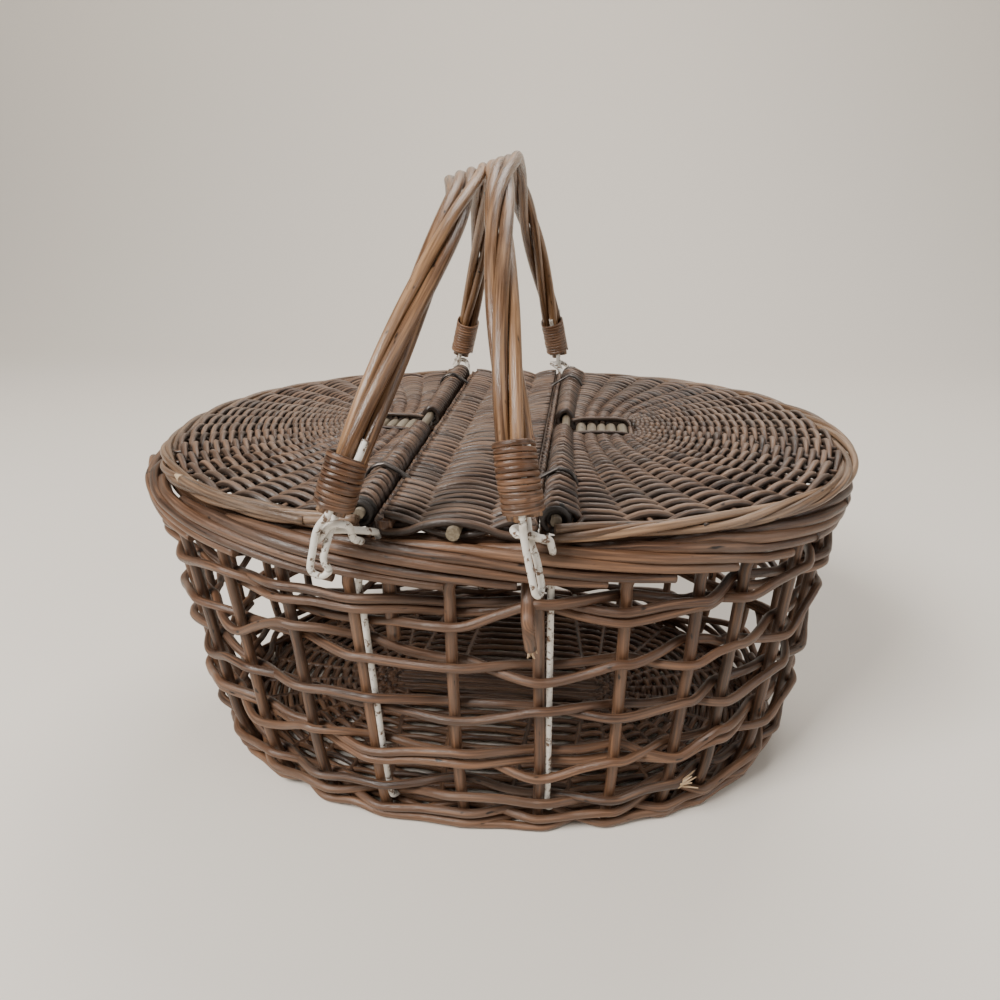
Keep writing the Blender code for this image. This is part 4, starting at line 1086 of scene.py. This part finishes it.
# %% Wire finishes
def worn_coating(name, coating, bare):
    """Old white coating with chips that show the metal under it."""
    made, tree, shader = new_finish(name)
    place = node(tree, "ShaderNodeTexCoord")
    chips = ramp(tree, blotches(tree, place, 260.0, 7.0, 0.7), [(0.41, WHITE), (0.45, BLACK)])
    stains = ramp(tree, blotches(tree, place, 90.0, 5.0), [(0.48, BLACK), (0.75, (0.55, 0.55, 0.55))])
    stain = tuple(c * share for c, share in zip(coating, (0.62, 0.52, 0.40)))
    coloured = mix(tree, chips, mix(tree, stains, coating, stain), bare)
    bump = node(tree, "ShaderNodeBump", {"Strength": 0.6, "Distance": 0.0003, "Height": chips}, invert=True)
    connect(tree, shader, {"Base Color": coloured, "Roughness": 0.55, "Normal": bump.outputs["Normal"]})
    return made


def dark_steel(name, colour):
    """Bare wire that has gone dark, with lighter rubbed places."""
    made, tree, shader = new_finish(name)
    rubbed = blotches(tree, node(tree, "ShaderNodeTexCoord"), 120.0)
    shade = ramp(tree, rubbed, [(0.40, colour), (0.70, tuple(c * 4 for c in colour))])
    connect(tree, shader, {"Base Color": shade, "Metallic": 0.85, "Roughness": 0.42})
    return made


white_coat = worn_coating("coat_worn_white", (0.70, 0.67, 0.61), (0.13, 0.075, 0.045))
ring_steel = dark_steel("steel_gone_dark", (0.045, 0.040, 0.037))

# %% [markdown]
# Each foot ends in an eye. Its wire comes down the outer side of the foot, makes a long narrow loop and
# goes back up on the inner side, under the skein. The staple is one wire bent to a U: it lies nearly flat,
# its round end beside the eye, and both its arms turn down into the border. The outer one goes on down the
# side, close beside a stake, and hooks round the foot, which spreads the load over the whole side. Near the
# eye the staple rises or falls a few millimetres, so that the eye can turn there through the whole swing.

# %% Eyes of the handles
EYE_WIRE, EYE_TAIL, EYE_HALF = 0.0017, 0.188, 0.0043
EYE_LOW = {"left": -0.0205, "right": -0.0265}
EYE_TURNED = {"left": 0.15, "right": 1.25}
CROSSING_ASIDE = {"left": 0.2, "right": 1.0}
WIRE_IN_WRAP = 0.0076
WIRE_STUBS = {("left", -1): 0.0060, ("right", -1): -0.0060, ("left", 1): -0.0060, ("right", 1): 0.0040}
STUB_ASIDE = 0.0068


def eye_rods(word, end):
    """The wire of one eye."""
    top = WRAP_TOPS[word, end]
    middle, outer = leg_line(np.array((top + WIRE_STUBS[word, end], top - 0.004, 0.024, 0.0125)), end)
    aside = X_AXIS * np.array((STUB_ASIDE, STUB_ASIDE * 0.8, STUB_ASIDE * 0.3, 0.0))[:, None]
    down_outside = middle + outer * np.array((0.0052, 0.0050, 0.0066, WIRE_IN_WRAP))[:, None] + aside
    up_inside = (middle - outer * WIRE_IN_WRAP)[::-1]
    sideways, inward = EYE_HALF * math.cos(EYE_TURNED[word]), EYE_HALF * math.sin(EYE_TURNED[word])
    low = EYE_LOW[word] + EYE_HALF

    def loop_point(across, height):
        return across * sideways, end * (EYE_TAIL - (across + 1) * inward * 0.8), height

    loop = [loop_point(-1, 0.0030), loop_point(-1.05, low / 2)]
    for turn in np.linspace(math.pi, 2 * math.pi, 7):
        loop.append(loop_point(math.cos(turn), low + EYE_HALF * math.sin(turn)))
    loop += [loop_point(CROSSING_ASIDE[word], -0.0106), (0.0, end * (EYE_TAIL - 0.008), 0.0)]
    corners = np.vstack((down_outside, loop, up_inside[0] - (0, 0, EYE_WIRE), up_inside[1:]))
    return [tube(flowing(tipped(corners, word), per=7), EYE_WIRE, sides=14)]


make_four(eye_rods, white_coat, "handle_{0}", "handle_{0}_loop_{1}", "handle_{0}_eye_{1}")

# %% Staples in the border
STAPLE_WIRE, STAPLE_BOW, HOOK_HEIGHT = 0.0018, 0.0075, 0.0185
STAKE_SEEN_AT = 0.17
INNER_ARM = {"left": 0.0165, "right": 0.0075}
ROUND_END_RISE = {"left": -0.0038, "right": 0.0034}
OUTER_BEND_RISE = {"left": 0.0012, "right": -0.0018}


def stake_beside(x, end):
    """The stake nearest to a place along the front or the back, and the direction from it to that place."""
    places = side_point(np.arange(STAKES), STAKE_SEEN_AT)
    distance = np.where(np.sign(places[:, 1]) == end, np.abs(places[:, 0] - x), 1.0)
    nearest = int(np.argmin(distance))
    return nearest, float(np.sign(x - places[nearest, 0]))


def staple_rods(word, end):
    """The wire of one staple, from its inner arm round the eye to the hook at the foot."""
    x, z = PIVOT_X[word], PIVOT_Z
    edge = abs(float(side_point(stake_beside(x, end)[0], RIM_HEIGHT)[1]))
    arm, rise, lift = x + INNER_ARM[word], ROUND_END_RISE[word], OUTER_BEND_RISE[word]
    inner = [(arm, edge - 0.001, 0.188), (arm, edge + 0.001, 0.2035)]
    inner += [(arm - 0.0025, edge + 0.0060, 0.2082), (x + 0.002, 0.1745, z - 0.0022)]
    round_end = [(x - 0.0048, 0.1758, z + rise * 0.75), (x - 0.0075, 0.1795, z + rise)]
    round_end += [(x - 0.0048, 0.1835, z + rise * 0.8)]
    outer = [(x + 0.0004, 0.1840, z + 0.0036), (x + 0.0045, 0.1835, z + 0.0036 + lift)]
    outer += [(x + 0.0085, 0.1800, z + 0.0012 + lift), (x + 0.0096, 0.1768, z - 0.0055)]
    outer += [(x + 0.0098, edge + 0.0060, 0.2020), (x + 0.0096, edge + 0.0020, 0.1900)]
    corners = np.array(inner + round_end + outer) * (1, end, 1)
    stake, side = stake_beside(x + STAPLE_BOW, end)
    gap = side_point(stake + 1, STAKE_SEEN_AT) - side_point(stake, STAKE_SEEN_AT)
    direction = 1 if gap[0] * side > 0 else -1
    beside = direction * (STAKE_RADIUS + STAPLE_WIRE) / float(np.linalg.norm(gap))
    down = side_point(stake + beside, np.linspace(0.176, HOOK_HEIGHT, 9), 0.0002)
    hook = down[-1] + ((0.0015, -end * 0.0015, -0.0040), (0.0045, -end * 0.0075, -0.0052))
    return [tube(flowing(np.vstack((corners, down, hook)), per=6), STAPLE_WIRE, sides=14)]


make_four(staple_rods, white_coat, "root", "wire_{0}_{1}", "staple_{0}_{1}")

# %% [markdown]
# A ring of thin steel wire goes round each bar and round the strip's edge stick. The bar turns in it. Each
# ring was closed by winding the wire round twice, so two wires lie side by side.

# %% Hinge rings
RING_WIRE, RING_PLAY = 0.0009, 0.0004


def ring_rods(word, end):
    """One ring: a double turn of wire round a lid's bar and the stick beside it."""
    low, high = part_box(f"hinge_ring_{word}_{'front' if end < 0 else 'back'}")
    stick_low, stick_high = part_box(f"strip_stick_{word}")
    bar = np.array((SIDES[word] * LID_BAR_X, (low[1] + high[1]) / 2, LID_BAR_Z))
    stick = np.array(((stick_low[0] + stick_high[0]) / 2, bar[1], stick_high[2] - STRIP_STICK_RADIUS))
    apart = unit(bar - stick)
    level = np.cross(apart, Y_AXIS)
    corners = []
    for middle, radius, turns in ((bar, LID_BAR_RADIUS, np.linspace(-1.57, 1.57, 9)),
                                  (stick, STRIP_STICK_RADIUS, np.linspace(1.9, 4.4, 5))):
        reach = radius + RING_PLAY + RING_WIRE
        corners += [middle + (apart * math.cos(t) + level * math.sin(t)) * reach for t in turns]
    ring = flowing(corners, closed=True)
    return [tube(ring + Y_AXIS * RING_WIRE * k, RING_WIRE, Y_AXIS, sides=10, closed=True) for k in (-1, 1)]


make_four(ring_rods, ring_steel, "root", "ring_{0}_{1}", "hinge_ring_{0}_{1}")
